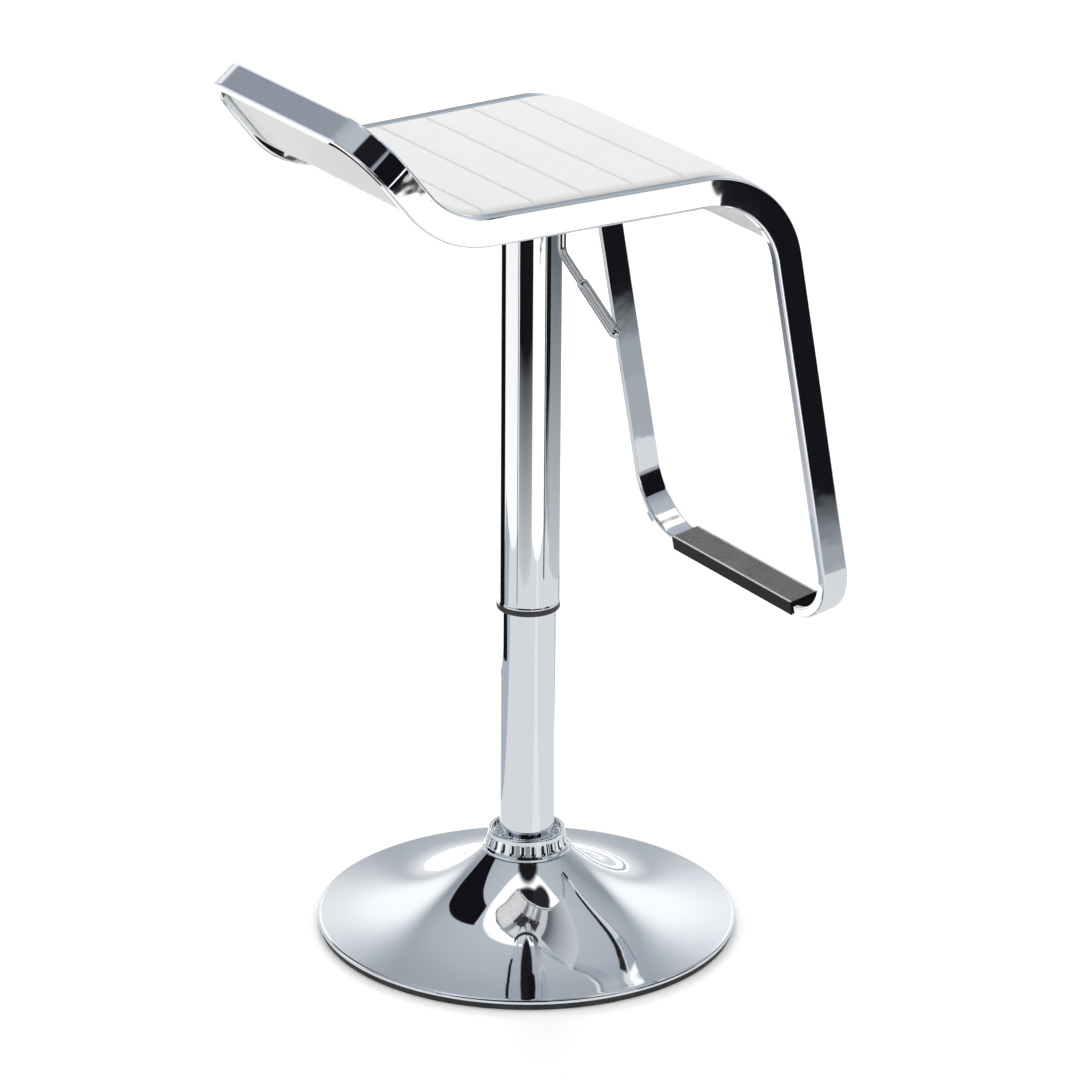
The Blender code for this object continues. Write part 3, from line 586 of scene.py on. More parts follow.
def skin(sections: Sequence[Sequence[Vector]], closed: bool = False) -> Shape:
    """Skin a row of equal-count loops.

    Args:
        sections: the loops.
        closed: whether the last loop joins the first; otherwise both ends are capped.

    Returns:
        Points and faces.
    """
    count = len(sections[0])
    verts = [point for section in sections for point in section]
    faces = []
    rows = len(sections)
    for k in range(rows if closed else rows - 1):
        here, after = k * count, ((k + 1) % rows) * count
        for i in range(count):
            j = (i + 1) % count
            faces.append([here + i, here + j, after + j, after + i])
    if not closed:
        faces.append(list(range(count))[::-1])
        faces.append([(rows - 1) * count + i for i in range(count)])
    return verts, faces


def radius_of(node: str, column: Vector) -> float:
    """Outer radius of a packed round solid about the column."""
    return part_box(node)[1].x - column.x


def face_outwards(piece: bpy.types.Object) -> None:
    """Turn a closed piece's faces outwards.

    Args:
        piece: the object whose mesh is turned.
    """
    bm = bmesh.new()
    bm.from_mesh(piece.data)
    bmesh.ops.recalc_face_normals(bm, faces=bm.faces)
    bm.to_mesh(piece.data)
    bm.free()


# ------------------------------------------------------------- seat side line


@dataclass(frozen=True)
class SideLine:
    """The strip's middle line seen from the side, and the frame's width along it."""

    column: Vector
    strip_width: float = 27.0 * MM
    strip_thickness: float = 11.0 * MM
    underside: float = 713.1 * MM
    rise: float = radians(0.7)
    back_flat: float = 127.8 * MM
    back_radius: float = 84.5 * MM
    back_bend: float = radians(51.7)
    back_straight: float = 32.0 * MM
    back_corner: float = 44.5 * MM
    front_flat: float = 82.2 * MM
    front_radius: float = 87.2 * MM
    leg_lean: float = radians(10.5)
    leg_length: float = 306.0 * MM
    foot_corner: float = 58.0 * MM
    width_back: float = 282.0 * MM
    width_foot: float = 320.0 * MM
    back_reach: float = 245.0 * MM
    foot_reach: float = 235.0 * MM

    @property
    def front_turn(self) -> float:
        """Angle that the front bend turns through."""
        return pi / 2 - self.leg_lean + self.rise

    @property
    def back_end(self) -> float:
        """Distance along the line to the back corner."""
        return -(self.back_flat + self.back_radius * self.back_bend + self.back_straight)

    @property
    def leg_end(self) -> float:
        """Distance along the line to the foot corner."""
        return self.front_flat + self.front_radius * self.front_turn + self.leg_length

    def at(self, distance: float) -> tuple[float, float, float]:
        """The line at a distance from the column, forward positive.

        Args:
            distance: metres along the line.

        Returns:
            Forward reach, height and slope.
        """
        flat = min(max(distance, -self.back_flat), self.front_flat)
        reach, slope = flat * cos(self.rise), self.rise
        height = self.underside + self.strip_width / 2 / cos(slope) + flat * sin(slope)
        rest = distance - flat
        if rest == 0:
            return reach, height, slope
        if rest > 0:
            turned_by = min(rest / self.front_radius, self.front_turn)
            straight, radius = rest - turned_by * self.front_radius, -self.front_radius
        else:
            turned_by = min(-rest / self.back_radius, self.back_bend)
            straight, radius = rest + turned_by * self.back_radius, self.back_radius
        after = slope - turned_by
        reach += radius * (sin(after) - sin(slope)) + straight * cos(after)
        height += radius * (cos(slope) - cos(after)) + straight * sin(after)
        return reach, height, after

    def half_width(self, reach: float) -> float:
        """Half of the frame's outer width at a forward reach."""
        share = (reach + self.back_reach) / (self.back_reach + self.foot_reach)
        return (self.width_back + share * (self.width_foot - self.width_back)) / 2

    def place(self, x: float, reach: float, height: float) -> Vector:
        """A point from its sideways, forward and upward measures."""
        return Vector((self.column.x + x, self.column.y - reach, height))

    def way(self, reach: float, height: float) -> Vector:
        """A direction from its forward and upward shares."""
        return Vector((0, -reach, height))

    def off(self, distance: float, x: float, out: float) -> Vector:
        """A point beside the line.

        Args:
            distance: metres along the line.
            x: metres sideways.
            out: metres square to the line.

        Returns:
            The point.
        """
        reach, height, slope = self.at(distance)
        return self.place(x, reach - out * sin(slope), height + out * cos(slope))

    def room(self, distance: float, gap: float) -> float:
        """Half of the room between the side bars, rounded at the back corners.

        Args:
            distance: metres along the line.
            gap: clearance to the bars.

        Returns:
            The half width.
        """
        radius = self.back_corner - self.strip_thickness / 2 - gap
        reach = self.at(max(distance, self.back_end))[0]
        full = self.half_width(reach) - self.strip_thickness - gap
        into = self.back_end - distance
        if into <= 0:
            return full
        return full - radius + sqrt(max(radius ** 2 - into ** 2, 0.0))


# ----------------------------------------------------------------------- base


@dataclass
class TrumpetBase:
    """The spun base, the ring it stands on and the collar round the column's foot."""

    column: Vector
    segments: int = 192
    wall: float = 1.9 * MM
    rim_bead: float = 2.5 * MM
    cone_rise: float = 19.0 * MM
    neck_gap: float = 0.6 * MM
    ring_width: float = 12.0 * MM
    ring_edge: float = 0.9 * MM
    ring_top_edge: float = 0.5 * MM
    flare: float = 5.6 * MM
    flange: float = 2.6 * MM
    flange_step: float = 1.7 * MM
    flank_foot: float = 4.6 * MM
    flank_head: float = 4.4 * MM
    dish: float = 0.28
    slots: int = 24
    slot_depth: float = 1.5 * MM
    slot_half: float = 1.6 * MM
    slot_end: float = 1.0 * MM
    slot_edge: float = 9.0

    def outer_radius(self) -> float:
        """Radius of the rim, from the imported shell."""
        low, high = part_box("base_shell")
        return (high.x - low.x) / 2

    def build(self) -> None:
        """Build the shell, the ring and the collar."""
        self.build_shell()
        self.build_ring()
        self.build_collar()

    def build_shell(self) -> None:
        """The trumpet: a shallow cone that curls up to the neck, with a rolled rim."""
        low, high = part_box("base_shell")
        outer = self.outer_radius()
        neck = radius_of("column_collar", self.column) + self.neck_gap
        start = outer - 1.6 * self.rim_bead
        rim = low.z + 2 * self.rim_bead
        curl = high.z - rim - self.cone_rise
        bead_x, bead_z = outer - self.rim_bead, low.z + self.rim_bead

        def height(radius: float) -> float:
            """Height of the outer face at a radius."""
            share = (start - radius) / (start - neck)
            return rim + self.cone_rise * share + curl * share ** 3

        bead = [(bead_x + self.rim_bead * cos(a), bead_z + self.rim_bead * sin(a))
                for a in spread(-pi / 2, radians(62), 12)]
        radii = spread(start, neck, 60)
        face = [(r, height(r)) for r in radii]
        back = [(r, height(r) - self.wall) for r in reversed(radii[2:])]
        hole = radius_of("stand_tube", self.column) + TUBE_GAP
        inner = [(hole, high.z), (hole, high.z - self.wall)]
        fold = [(start - self.wall, low.z + self.wall), (start - self.wall, low.z)]
        shape = lathe(bead + face + inner + back + fold, self.segments, self.column)
        new_piece("trumpet_shell", shape, CHROME, Body.BASE, ["base_shell"])

    def build_ring(self) -> None:
        """The rubber ring, with its edges rounded over."""
        low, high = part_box("floor_ring")
        outer = (high.x - low.x) / 2
        inner = outer - self.ring_width
        corners = [(inner, low.z, self.ring_edge), (outer, low.z, self.ring_edge),
                   (outer, high.z, self.ring_top_edge), (inner, high.z, self.ring_top_edge)]
        shape = lathe(rounded_outline(corners, 4), self.segments, self.column)
        new_piece("rubber_floor_ring", shape, RUBBER, Body.BASE, ["floor_ring"])

    def build_collar(self) -> None:
        """The flared collar with its ring of short upright slots; the slot floors carry painted shade."""
        low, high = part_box("column_collar")
        foot_radius = (high.x - low.x) / 2
        bore = radius_of("stand_tube", self.column) + TUBE_GAP
        top = foot_radius - self.flare
        dish = high.z - self.dish * (high.z - low.z)
        flank_low, flank_high = low.z + self.flank_foot, high.z - self.flank_head
        flank_radius = foot_radius - self.flange_step
        corners = [(bore, low.z, 0), (foot_radius, low.z, 0.8 * MM),
                   (foot_radius, low.z + self.flange, 1.2 * MM), (flank_radius, flank_low, 0.8 * MM),
                   (top + 1.3 * MM, flank_high, 0.7 * MM), (top + 0.9 * MM, high.z, 1.6 * MM),
                   (top - 2.6 * MM, high.z, 1.4 * MM), (top - 3.4 * MM, dish, 0.8 * MM), (bore, dish, 0)]
        profile = rounded_outline(corners, 5)
        flank = [(flank_radius + (top + 3.0 * MM - foot_radius) * s,
                  flank_low + (flank_high - flank_low) * s) for s in spread(0.06, 0.94, 12)]
        cut = next(i for i, p in enumerate(profile) if p[1] > flank_low + 0.9 * MM and p[0] > bore + MM)
        profile = profile[:cut] + flank[1:-1] + profile[cut:]

        def ripple(angle: float, height: float) -> float:
            """Change of radius that cuts the slots.

            Args:
                angle: radians round the column.
                height: metres above the floor.

            Returns:
                Metres, negative in a slot.
            """
            if not flank_low < height < flank_high + 0.3 * MM:
                return 0.0
            turn = (angle * self.slots / (2 * pi)) % 1.0 - 0.5
            across = abs(turn) * 2 * pi * foot_radius / self.slots / self.slot_half
            middle = (flank_low + flank_high) / 2
            half = (flank_high - flank_low) / 2 - self.slot_end
            over = max(0.0, abs(height - middle) - half + self.slot_half) / self.slot_half
            away = sqrt(across ** 2 + over ** 2)
            return -self.slot_depth / (1 + exp((away - 1.0) * self.slot_edge))

        shape = lathe(profile, self.slots * 14, self.column, ripple)
        piece = new_piece("slotted_collar", shape, CHROME, Body.BASE,
                          ["column_collar"], crease=radians(65))
        # Faces sunk deeper than 45% of the slot depth get the near-black chrome: painted shade in the
        # recesses.
        slot_painted_shade_index = 1
        piece.data.materials.append(SLOT_PAINTED_SHADE.material())
        for polygon in piece.data.polygons:
            arm = polygon.center - self.column
            in_slot = ripple(atan2(arm.y, arm.x), polygon.center.z) < -0.45 * self.slot_depth
            if in_slot and Vector((arm.x, arm.y)).length > bore + MM:
                polygon.material_index = slot_painted_shade_index


# --------------------------------------------------------------------- column


@dataclass
class LiftColumn:
    """The fixed tube, the cover tube that slides over it and the glide ring."""

    column: Vector
    segments: int = 160
    edge: float = 0.5 * MM
    fixed_wall: float = 1.7 * MM
    cover_wall: float = 1.2 * MM
    cover_curl: float = 0.5 * MM
    curl_low: float = 1.4 * MM
    curl_high: float = 2.6 * MM
    sleeve_inset: float = 1.5 * MM

    def build(self) -> None:
        """Build the three round pieces."""
        self.build_tube("fixed_tube", "stand_tube", self.fixed_wall, Body.BASE, 0.0)
        self.build_tube("sliding_cover", "cover_tube", self.cover_wall, Body.SEAT, self.cover_curl)
        self.build_glide()

    def build_tube(self, name: str, node: str, wall: float, body: Body, curl: float) -> None:
        """A chromed tube.

        Args:
            name: the piece's name.
            node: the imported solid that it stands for.
            wall: its wall thickness.
            body: the group that it rides on.
            curl: how far its lower lip turns outwards.
        """
        low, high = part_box(node)
        outer = (high.x - low.x) / 2
        inner = outer - wall
        corners = [(inner, low.z, self.edge), (outer + curl, low.z, self.edge)]
        if curl:
            corners += [(outer + curl, low.z + self.curl_low, self.edge),
                        (outer, low.z + self.curl_high, 2 * self.edge)]
        corners += [(outer, high.z, self.edge), (inner, high.z, self.edge)]
        shape = lathe(rounded_outline(corners, 4, hold=0.3 * MM), self.segments, self.column)
        new_piece(name, shape, CHROME, body, [node])

    def build_glide(self) -> None:
        """The black ring in the mouth of the cover tube, with its inner sleeve."""
        low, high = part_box("glide_ring")
        lip = (high.x - low.x) / 2
        sleeve = radius_of("cover_tube", self.column) - self.sleeve_inset
        bore = radius_of("stand_tube", self.column) + TUBE_GAP
        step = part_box("cover_tube")[0].z - TUBE_GAP
        corners = [(bore, low.z, 0.8 * MM), (lip, low.z, 1.5 * MM), (lip, step, 0.5 * MM),
                   (sleeve, step, 0), (sleeve, high.z, 0.3 * MM), (bore, high.z, 0.3 * MM)]
        shape = lathe(rounded_outline(corners, 5), self.segments, self.column)
        new_piece("glide_lip", shape, BLACK_PLASTIC, Body.SEAT,
                  ["glide_ring"])


# ---------------------------------------------------------------------- frame


@dataclass
class StripFrame:
    """The closed loop of flat strip, and the rubber tread on its foot bar."""

    line: SideLine
    edge: float = 2.3 * MM
    corner_steps: int = 36
    bend_steps: int = 56
    rib_pitch: float = 2.1 * MM
    rib_height: float = 0.6 * MM
    lip: float = 1.5 * MM
    bar_gap: float = 0.3 * MM
    tread_top: float = 3.0 * MM
    skirt: float = 0.8 * MM
    border: float = 2.6 * MM
    bevel: float = 0.9 * MM
    bevel_step: float = 0.3 * MM

    def build(self) -> None:
        """Build the loop and the tread."""
        self.build_loop()
        self.build_tread()

    def section(self) -> Outline:
        """The strip's rounded rectangle.

        Returns:
            Its points: thickness across, width up.
        """
        t, w = self.line.strip_thickness / 2, self.line.strip_width / 2
        corners = [(t, -w, self.edge), (t, w, self.edge), (-t, w, self.edge), (-t, -w, self.edge)]
        return rounded_outline(corners, 5, hold=0.4 * MM)

    def corner(self, distance: float, outwards: int, radius: float) -> list[Station]:
        """Stations round a corner, from the cross bar's middle to the side bar.

        Args:
            distance: where the corner ends on the side line.
            outwards: which way along the line the cross bar lies.
            radius: bend radius of the strip's middle.

        Returns:
            Centre, thickness direction and width direction of each station.
        """
        reach, height, slope = self.line.at(distance)
        travel = self.line.way(cos(slope), sin(slope)) * outwards
        wide = self.line.way(-sin(slope), cos(slope))
        start = self.line.place(0, reach, height)
        bend_x = self.line.half_width(reach) - self.line.strip_thickness / 2 - radius
        stations = [(start + travel * radius + Vector((bend_x * s, 0, 0)), travel, wide)
                    for s in spread(0, 0.985, 8)]
        for angle in spread(0, pi / 2, self.corner_steps):
            thick = Vector((1, 0, 0)) * sin(angle) + travel * cos(angle)
            stations.append((start + Vector((bend_x, 0, 0)) + thick * radius, thick, wide))
        return stations

    def side(self) -> list[Station]:
        """Stations down the side bar between the two corners.

        Returns:
            Centre, thickness direction and width direction of each station.
        """
        line = self.line
        back_bend_end = -(line.back_flat + line.back_radius * line.back_bend)
        front_bend_end = line.front_flat + line.front_radius * line.front_turn
        distances = (spread(line.back_end, back_bend_end, 4)[1:-1]
                     + spread(back_bend_end, -line.back_flat, self.bend_steps)
                     + spread(-line.back_flat, line.front_flat, 10)[1:-1]
                     + spread(line.front_flat, front_bend_end, self.bend_steps)
                     + spread(front_bend_end, line.leg_end, 14)[1:-1])
        stations = []
        for distance in distances:
            reach, height, slope = line.at(distance)
            centre = line.place(line.half_width(reach) - line.strip_thickness / 2, reach, height)
            stations.append((centre, Vector((1, 0, 0)), line.way(-sin(slope), cos(slope))))
        return stations

    def build_loop(self) -> None:
        """Sweep the section round the whole loop."""
        line = self.line
        right = (self.corner(line.back_end, -1, line.back_corner) + self.side()
                 + self.corner(line.leg_end, 1, line.foot_corner)[::-1])
        flip = Matrix.Diagonal((-1, 1, 1))
        middle = Vector((2 * line.column.x, 0, 0))
        left = [(flip @ c + middle, flip @ t, w) for c, t, w in reversed(right[1:-1])]
        outline = self.section()
        sections = [[c + t * a + w * b for a, b in outline] for c, t, w in right + left]
        shape = skin(sections, closed=True)
        new_piece("bent_strip_frame", shape, STRIP_CHROME, Body.SEAT,
                  ["frame_loop"], crease=radians(60))

    def build_tread(self) -> None:
        """Ribbed channel over the foot bar, with a painted highlight on its flat borders and painted shade on
        its sides and groove floors.
        """
        line = self.line
        reach, height, slope = line.at(line.leg_end)
        down = line.way(cos(slope), sin(slope))
        across = line.way(-sin(slope), cos(slope))
        middle = line.place(0, reach, height) + down * line.foot_corner
        low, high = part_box("footrest_tread")
        half = (high.x - low.x) / 2
        inner = line.strip_width / 2 + self.bar_gap
        outer = inner + self.lip
        under = line.strip_thickness / 2 + self.bar_gap
        top = under + self.tread_top
        hem = self.skirt - line.strip_thickness / 2
        field_edge = outer - self.border
        ribs: Outline = []
        count = int(2 * field_edge / self.rib_pitch)
        pitch = 2 * field_edge / count
        for k in range(count):
            left = -field_edge + k * pitch
            ribs += [(left, top - self.rib_height), (left + 0.18 * pitch, top - self.rib_height),
                     (left + 0.34 * pitch, top), (left + 0.84 * pitch, top)]
        bevel, step = self.bevel, self.bevel_step
        outline = ([(-outer, hem), (-outer, top - bevel), (-outer + step, top - step),
                    (-outer + bevel, top), (-field_edge - 0.2 * MM, top)] + ribs
                   + [(field_edge, top - self.rib_height), (field_edge + 0.2 * MM, top),
                      (outer - bevel, top), (outer - step, top - step), (outer, top - bevel),
                      (outer, hem), (inner, hem), (inner, under), (-inner, under), (-inner, hem)])
        columns = ([-half, -half + 0.5 * MM] + spread(-half + 8 * MM, half - 8 * MM, 12)
                   + [half - 0.5 * MM, half])
        sections = []
        for x in columns:
            shrink = 0.35 * MM if abs(x) == half else 0.0
            sections.append([middle + Vector((x, 0, 0)) + across * a
                             - down * (b - (shrink if b > under + MM else 0.0)) for a, b in outline])
        shape = skin(sections)
        piece = new_piece("ribbed_tread", shape, TREAD_RUBBER, Body.SEAT,
                          ["footrest_tread"], crease=radians(25))
        # Material indices: 1 is a painted highlight on the flat borders, 2 is painted shade on the sides and
        # groove floors.
        border, painted_shade_faces = 1, 2
        piece.data.materials.append(TREAD_PAINTED_HIGHLIGHT.material())
        piece.data.materials.append(TREAD_PAINTED_SHADE.material())
        for polygon in piece.data.polygons:
            arm = polygon.center - middle
            side, up = arm.dot(across), -arm.dot(down)
            grooved = abs(side) < field_edge and up < top - 0.9 * self.rib_height
            # Sides, lips and groove floors take the painted shade.
            if grooved or up < top - 0.95 * MM or abs(side) > outer - 0.5 * MM:
                polygon.material_index = painted_shade_faces
            # The flat border beside the ribs takes the painted highlight.
            elif abs(side) > field_edge and up > top - self.bevel_step:
                polygon.material_index = border


# ------------------------------------------------------------------ upholstery


@dataclass
class SeatPad:
    """The sewn pad that runs from the front roll up the low back."""

    line: SideLine
    low: float = 3.6 * MM
    top: float = 15.4 * MM
    side_gap: float = 1.0 * MM
    end_gap: float = 2.2 * MM
    side_roll: float = 9.5 * MM
    end_roll: float = 8.0 * MM
    wrap: float = radians(68.0)
    first_seam: float = -79.3 * MM
    seam_pitch: float = 49.2 * MM
    seam_depth: float = 2.3 * MM
    seam_half: float = 0.95 * MM
    seam_back: float = 14.0 * MM
    seam_front: float = 12.0 * MM
    puff: float = 1.0 * MM
    pucker: float = 0.12 * MM
    sag: float = 0.25 * MM
    columns: int = 56

    @property
    def back(self) -> float:
        """Distance along the side line to the pad's back end."""
        line = self.line
        return line.back_end - line.back_corner + line.strip_thickness / 2 + self.end_gap

    @property
    def front(self) -> float:
        """Distance along the side line to the pad's front end."""
        return self.line.front_flat + self.line.front_radius * self.wrap

    def seams(self) -> list[float]:
        """Distances of the sewn channels."""
        found = [self.first_seam + self.seam_pitch * k for k in range(-4, 8)]
        return [s for s in found if self.back + self.seam_back < s < self.front - self.seam_front]

    def stations(self) -> list[float]:
        """Rows of the pad's mesh, close together at the seams and ends.

        Returns:
            Distances along the side line.
        """
        near = [0.0, 0.35, 0.7, 1.05, 1.5, 2.1, 3.2, 5.0, 8.0, 12.0, 17.0, 24.6]
        rows = set()
        for seam in self.seams():
            for d in near:
                for sign in (-1, 1):
                    rows.add(round(seam + sign * d * MM, 6))
        for end, sign in ((self.back, 1), (self.front, -1)):
            for angle in spread(0, pi / 2, 7):
                rows.add(round(end + sign * self.end_roll * (1 - cos(angle)), 6))
        for e in spread(self.back + self.end_roll, self.back + 40 * MM, 8):
            rows.add(round(e, 6))
        kept: list[float] = []
        for row in sorted(r for r in rows if self.back <= r <= self.front):
            if not kept or row - kept[-1] > 0.25 * MM:
                kept.append(row)
        return kept

    def outward(self, distance: float) -> float:
        """How far the plain pad's top stands out, rolled at both ends.

        Args:
            distance: metres along the side line.

        Returns:
            Metres out.
        """
        into = min(distance - self.back, self.front - distance)
        if into >= self.end_roll:
            return self.top
        r = self.end_roll
        return self.top - r + sqrt(max(r ** 2 - (r - into) ** 2, 0.0))

    def sewn(self, distance: float, side: float) -> float:
        """Rise of the cover at a place: plump between seams, drawn in at them.

        Args:
            distance: metres along the side line.
            side: -1 to 1 from one side bar to the other.

        Returns:
            Metres out.
        """
        seams = [self.back] + self.seams() + [self.front]
        for first, second in zip(seams, seams[1:]):
            if first <= distance <= second:
                break
        middle = (first + second) / 2
        share = (distance - middle) / ((second - first) / 2)
        plump = self.puff * (1 - abs(share) ** 2.6) * (1 - abs(side) ** 6)
        nearest = min(abs(distance - s) for s in self.seams())
        groove = self.seam_depth * exp(-(nearest / self.seam_half) ** 1.4)
        pucker = self.pucker * sin(side * 190.0 + 40.0 * distance) * exp(-nearest / (3 * MM))
        return plump - groove + pucker

    def section(self, distance: float) -> list[Vector]:
        """One loop of the pad.

        Args:
            distance: metres along the side line.

        Returns:
            Its points, top first.
        """
        half = self.line.room(distance, self.side_gap)
        top = self.outward(distance)
        roll = min(self.side_roll, top - self.low - 0.5 * MM)
        points = []
        for u in spread(-1, 1, self.columns):
            x = u * (half - roll)
            points.append((x, top, u))
        arc = spread(0, pi / 2, 8)[1:]
        right = [(half - roll + roll * sin(a), top - roll + roll * cos(a), 1.0) for a in arc]
        left = [(-x, y, -1.0) for x, y, _ in reversed(right)]
        bottom = [(half - 1.5 * MM, self.low, 1.0)]
        bottom += [(x, self.low, 0.0) for x in spread(half * 0.8, -half * 0.8, 8)]
        bottom += [(-half + 1.5 * MM, self.low, -1.0)]
        made = []
        for x, out, u in points + right + bottom + left:
            lift = 0.0
            if out > self.low + 0.8 * MM:
                share = min(1.0, (out - self.low) / max(top - self.low, MM))
                lift = self.sewn(distance, x / half) * share ** 1.5
                lift += self.sag * noise.noise(Vector((x * 34, distance * 34, 1.7))) * share
            made.append(self.line.off(distance, x, out + lift))
        return made

    def build(self) -> bpy.types.Object:
        """Build the pad.

        Returns:
            The pad object.
        """
        sections = [self.section(s) for s in self.stations()]
        shape = skin(sections)
        piece = new_piece("sewn_seat_pad", shape, LEATHER, Body.SEAT, ["seat_pad"],
                          crease=radians(70))
        return piece


@dataclass
class WrappedBoard:
    """The seat board wrapped in the same cover, with its hems and folded corners."""

    line: SideLine
    pad: SeatPad
    low: float = -5.5 * MM
    high: float = 3.4 * MM
    hem_width: float = 17.0 * MM
    hem_height: float = 0.9 * MM
    hem_edge: float = 0.35 * MM
    side_gap: float = 1.2 * MM
    fold_radius: float = 2.2 * MM
    wave: float = 0.35 * MM
    flap_length: float = 51.0 * MM
    flap_gather: float = 1.6 * MM
    stitch_pitch: float = 4.2 * MM
    stitch_length: float = 3.0 * MM
    stitch_radius: float = 0.38 * MM

    def hem(self, distance: float, x: float, half: float) -> float:
        """Thickness of the folded hem at a place under the board."""
        edge = min(half - abs(x), distance - self.pad.back, self.pad.front - distance)
        return self.hem_height / (1 + exp((edge - self.hem_width) / self.hem_edge))

    def section(self, distance: float) -> list[Vector]:
        """One loop of the wrapped board.

        Args:
            distance: metres along the side line.

        Returns:
            Its points, top first.
        """
        half = self.line.room(distance, self.side_gap) - 1.0 * MM
        inset = [0.0, 1.0, 2.2, 5.0, 10.0, 15.6, 16.4, 17.0, 17.6, 18.4, 24.0]
        edges = [half - i * MM for i in inset]
        xs = edges + spread(edges[-1], -edges[-1], 14)[1:-1] + [-e for e in reversed(edges)]
        made = [self.line.off(distance, x, self.high) for x in spread(-half, half, 6)]
        for x in xs:
            over = min(1.0, (half - abs(x)) / self.fold_radius)
            curl = self.fold_radius * (1 - sqrt(max(0.0, 1 - (1 - over) ** 2)))
            wave = self.wave * noise.noise(Vector((x * 40, distance * 40, 8.1)))
            made.append(self.line.off(distance, x, self.low - self.hem(distance, x, half) + curl + wave))
        return made

    def rows(self) -> list[float]:
        """Rows of the board's mesh, close together at the hems.

        Returns:
            Distances along the side line.
        """
        back, front = self.pad.back + 3 * MM, self.pad.front - 2 * MM
        steps = [0.0, 0.8, 2.0, 5.0, 9.0, 12.6, 13.4, 14.0, 14.6, 15.4, 20.0]
        return ([back + s * MM for s in steps] + spread(back + 26 * MM, front - 26 * MM, 46)
                + [front - s * MM for s in reversed(steps)])

    def build(self) -> None:
        """Build the wrapped board, its stitches and the folded front flap."""
        shape = skin([self.section(s) for s in self.rows()])
        new_piece("wrapped_seat_board", shape, UNDER_LEATHER, Body.SEAT,
                  ["seat_board"], crease=radians(60))
        self.build_stitches()
        self.build_flap()

    def stitch(self, start: Vector, end: Vector, away: Vector) -> Shape:
        """One stitch that dives in at both ends.

        Args:
            start: where the thread comes out.
            end: where it goes back in.
            away: direction out of the cover.

        Returns:
            Points and faces.
        """
        along = (end - start).normalized()
        side = along.cross(away).normalized()
        loops = []
        for s in spread(0, 1, 6):
            lift = self.stitch_radius * (1.3 * sin(pi * s) - 0.5)
            centre = start.lerp(end, s) + away * lift
            radius = self.stitch_radius * (0.55 + 0.45 * sin(pi * s))
            loops.append([centre + side * (radius * cos(a)) + away * (radius * sin(a))
                          for a in spread(0, 2 * pi, 6)[:-1]])
        return skin(loops)

    def build_stitches(self) -> None:
        """Rows of stitches along the front and back hems."""
        verts: list[Vector] = []
        faces: list[list[int]] = []
        for distance in (self.pad.front - 9 * MM, self.pad.back + 11 * MM):
            half = self.line.room(distance, self.side_gap) - 14 * MM
            slope = self.line.at(distance)[2]
            away = -self.line.way(-sin(slope), cos(slope))
            count = int(2 * half / self.stitch_pitch)
            for k in range(count):
                x = -half + (k + 0.5) * self.stitch_pitch
                ends = [self.line.off(distance, x + s * self.stitch_length / 2, self.low - self.hem_height)
                        for s in (-1, 1)]
                more, fresh = self.stitch(ends[0], ends[1], away)
                faces += [[len(verts) + i for i in f] for f in fresh]
                verts += more
        new_piece("hem_stitches", (verts, faces), THREAD, Body.SEAT, turn=False)

    def build_flap(self) -> None:
        """The cover's end, folded under the board's front with gathered corners."""
        last = self.pad.front - 1.0 * MM
        first = last - self.flap_length
        sections = []
        for distance in spread(first, last, 26):
            half = self.line.room(distance, self.side_gap) - 3.0 * MM
            along = (distance - first) / (last - first)
            out_row, in_row = [], []
            for u in spread(-1, 1, 72):
                x = u * half
                corner = max(0.0, (abs(u) - 0.72) / 0.28)
                fold = 0.5 + 0.5 * sin(abs(u) * 92 + along * 3.0)
                gather = self.flap_gather * corner * fold * sin(pi * along)
                body = 1.5 * MM + 1.7 * MM * sin(pi * min(1.0, along * 1.15)) ** 0.8
                stitched = 0.9 * MM * exp(-((distance - (self.pad.front - 16 * MM)) / (1.3 * MM)) ** 2)
                ripple = 0.5 * MM * noise.noise(Vector((x * 55, distance * 90, 3.3)))
                thick = body + gather - stitched + ripple
                out_row.append(self.line.off(distance, x, self.low - 0.7 * MM - thick))
                in_row.append(self.line.off(distance, x, self.low - 0.5 * MM))
            sections.append(out_row + in_row[::-1])
        shape = skin(sections)
        new_piece("folded_front_flap", shape, UNDER_LEATHER, Body.SEAT,
                  crease=radians(70))


# ---------------------------------------------------------------------- lever


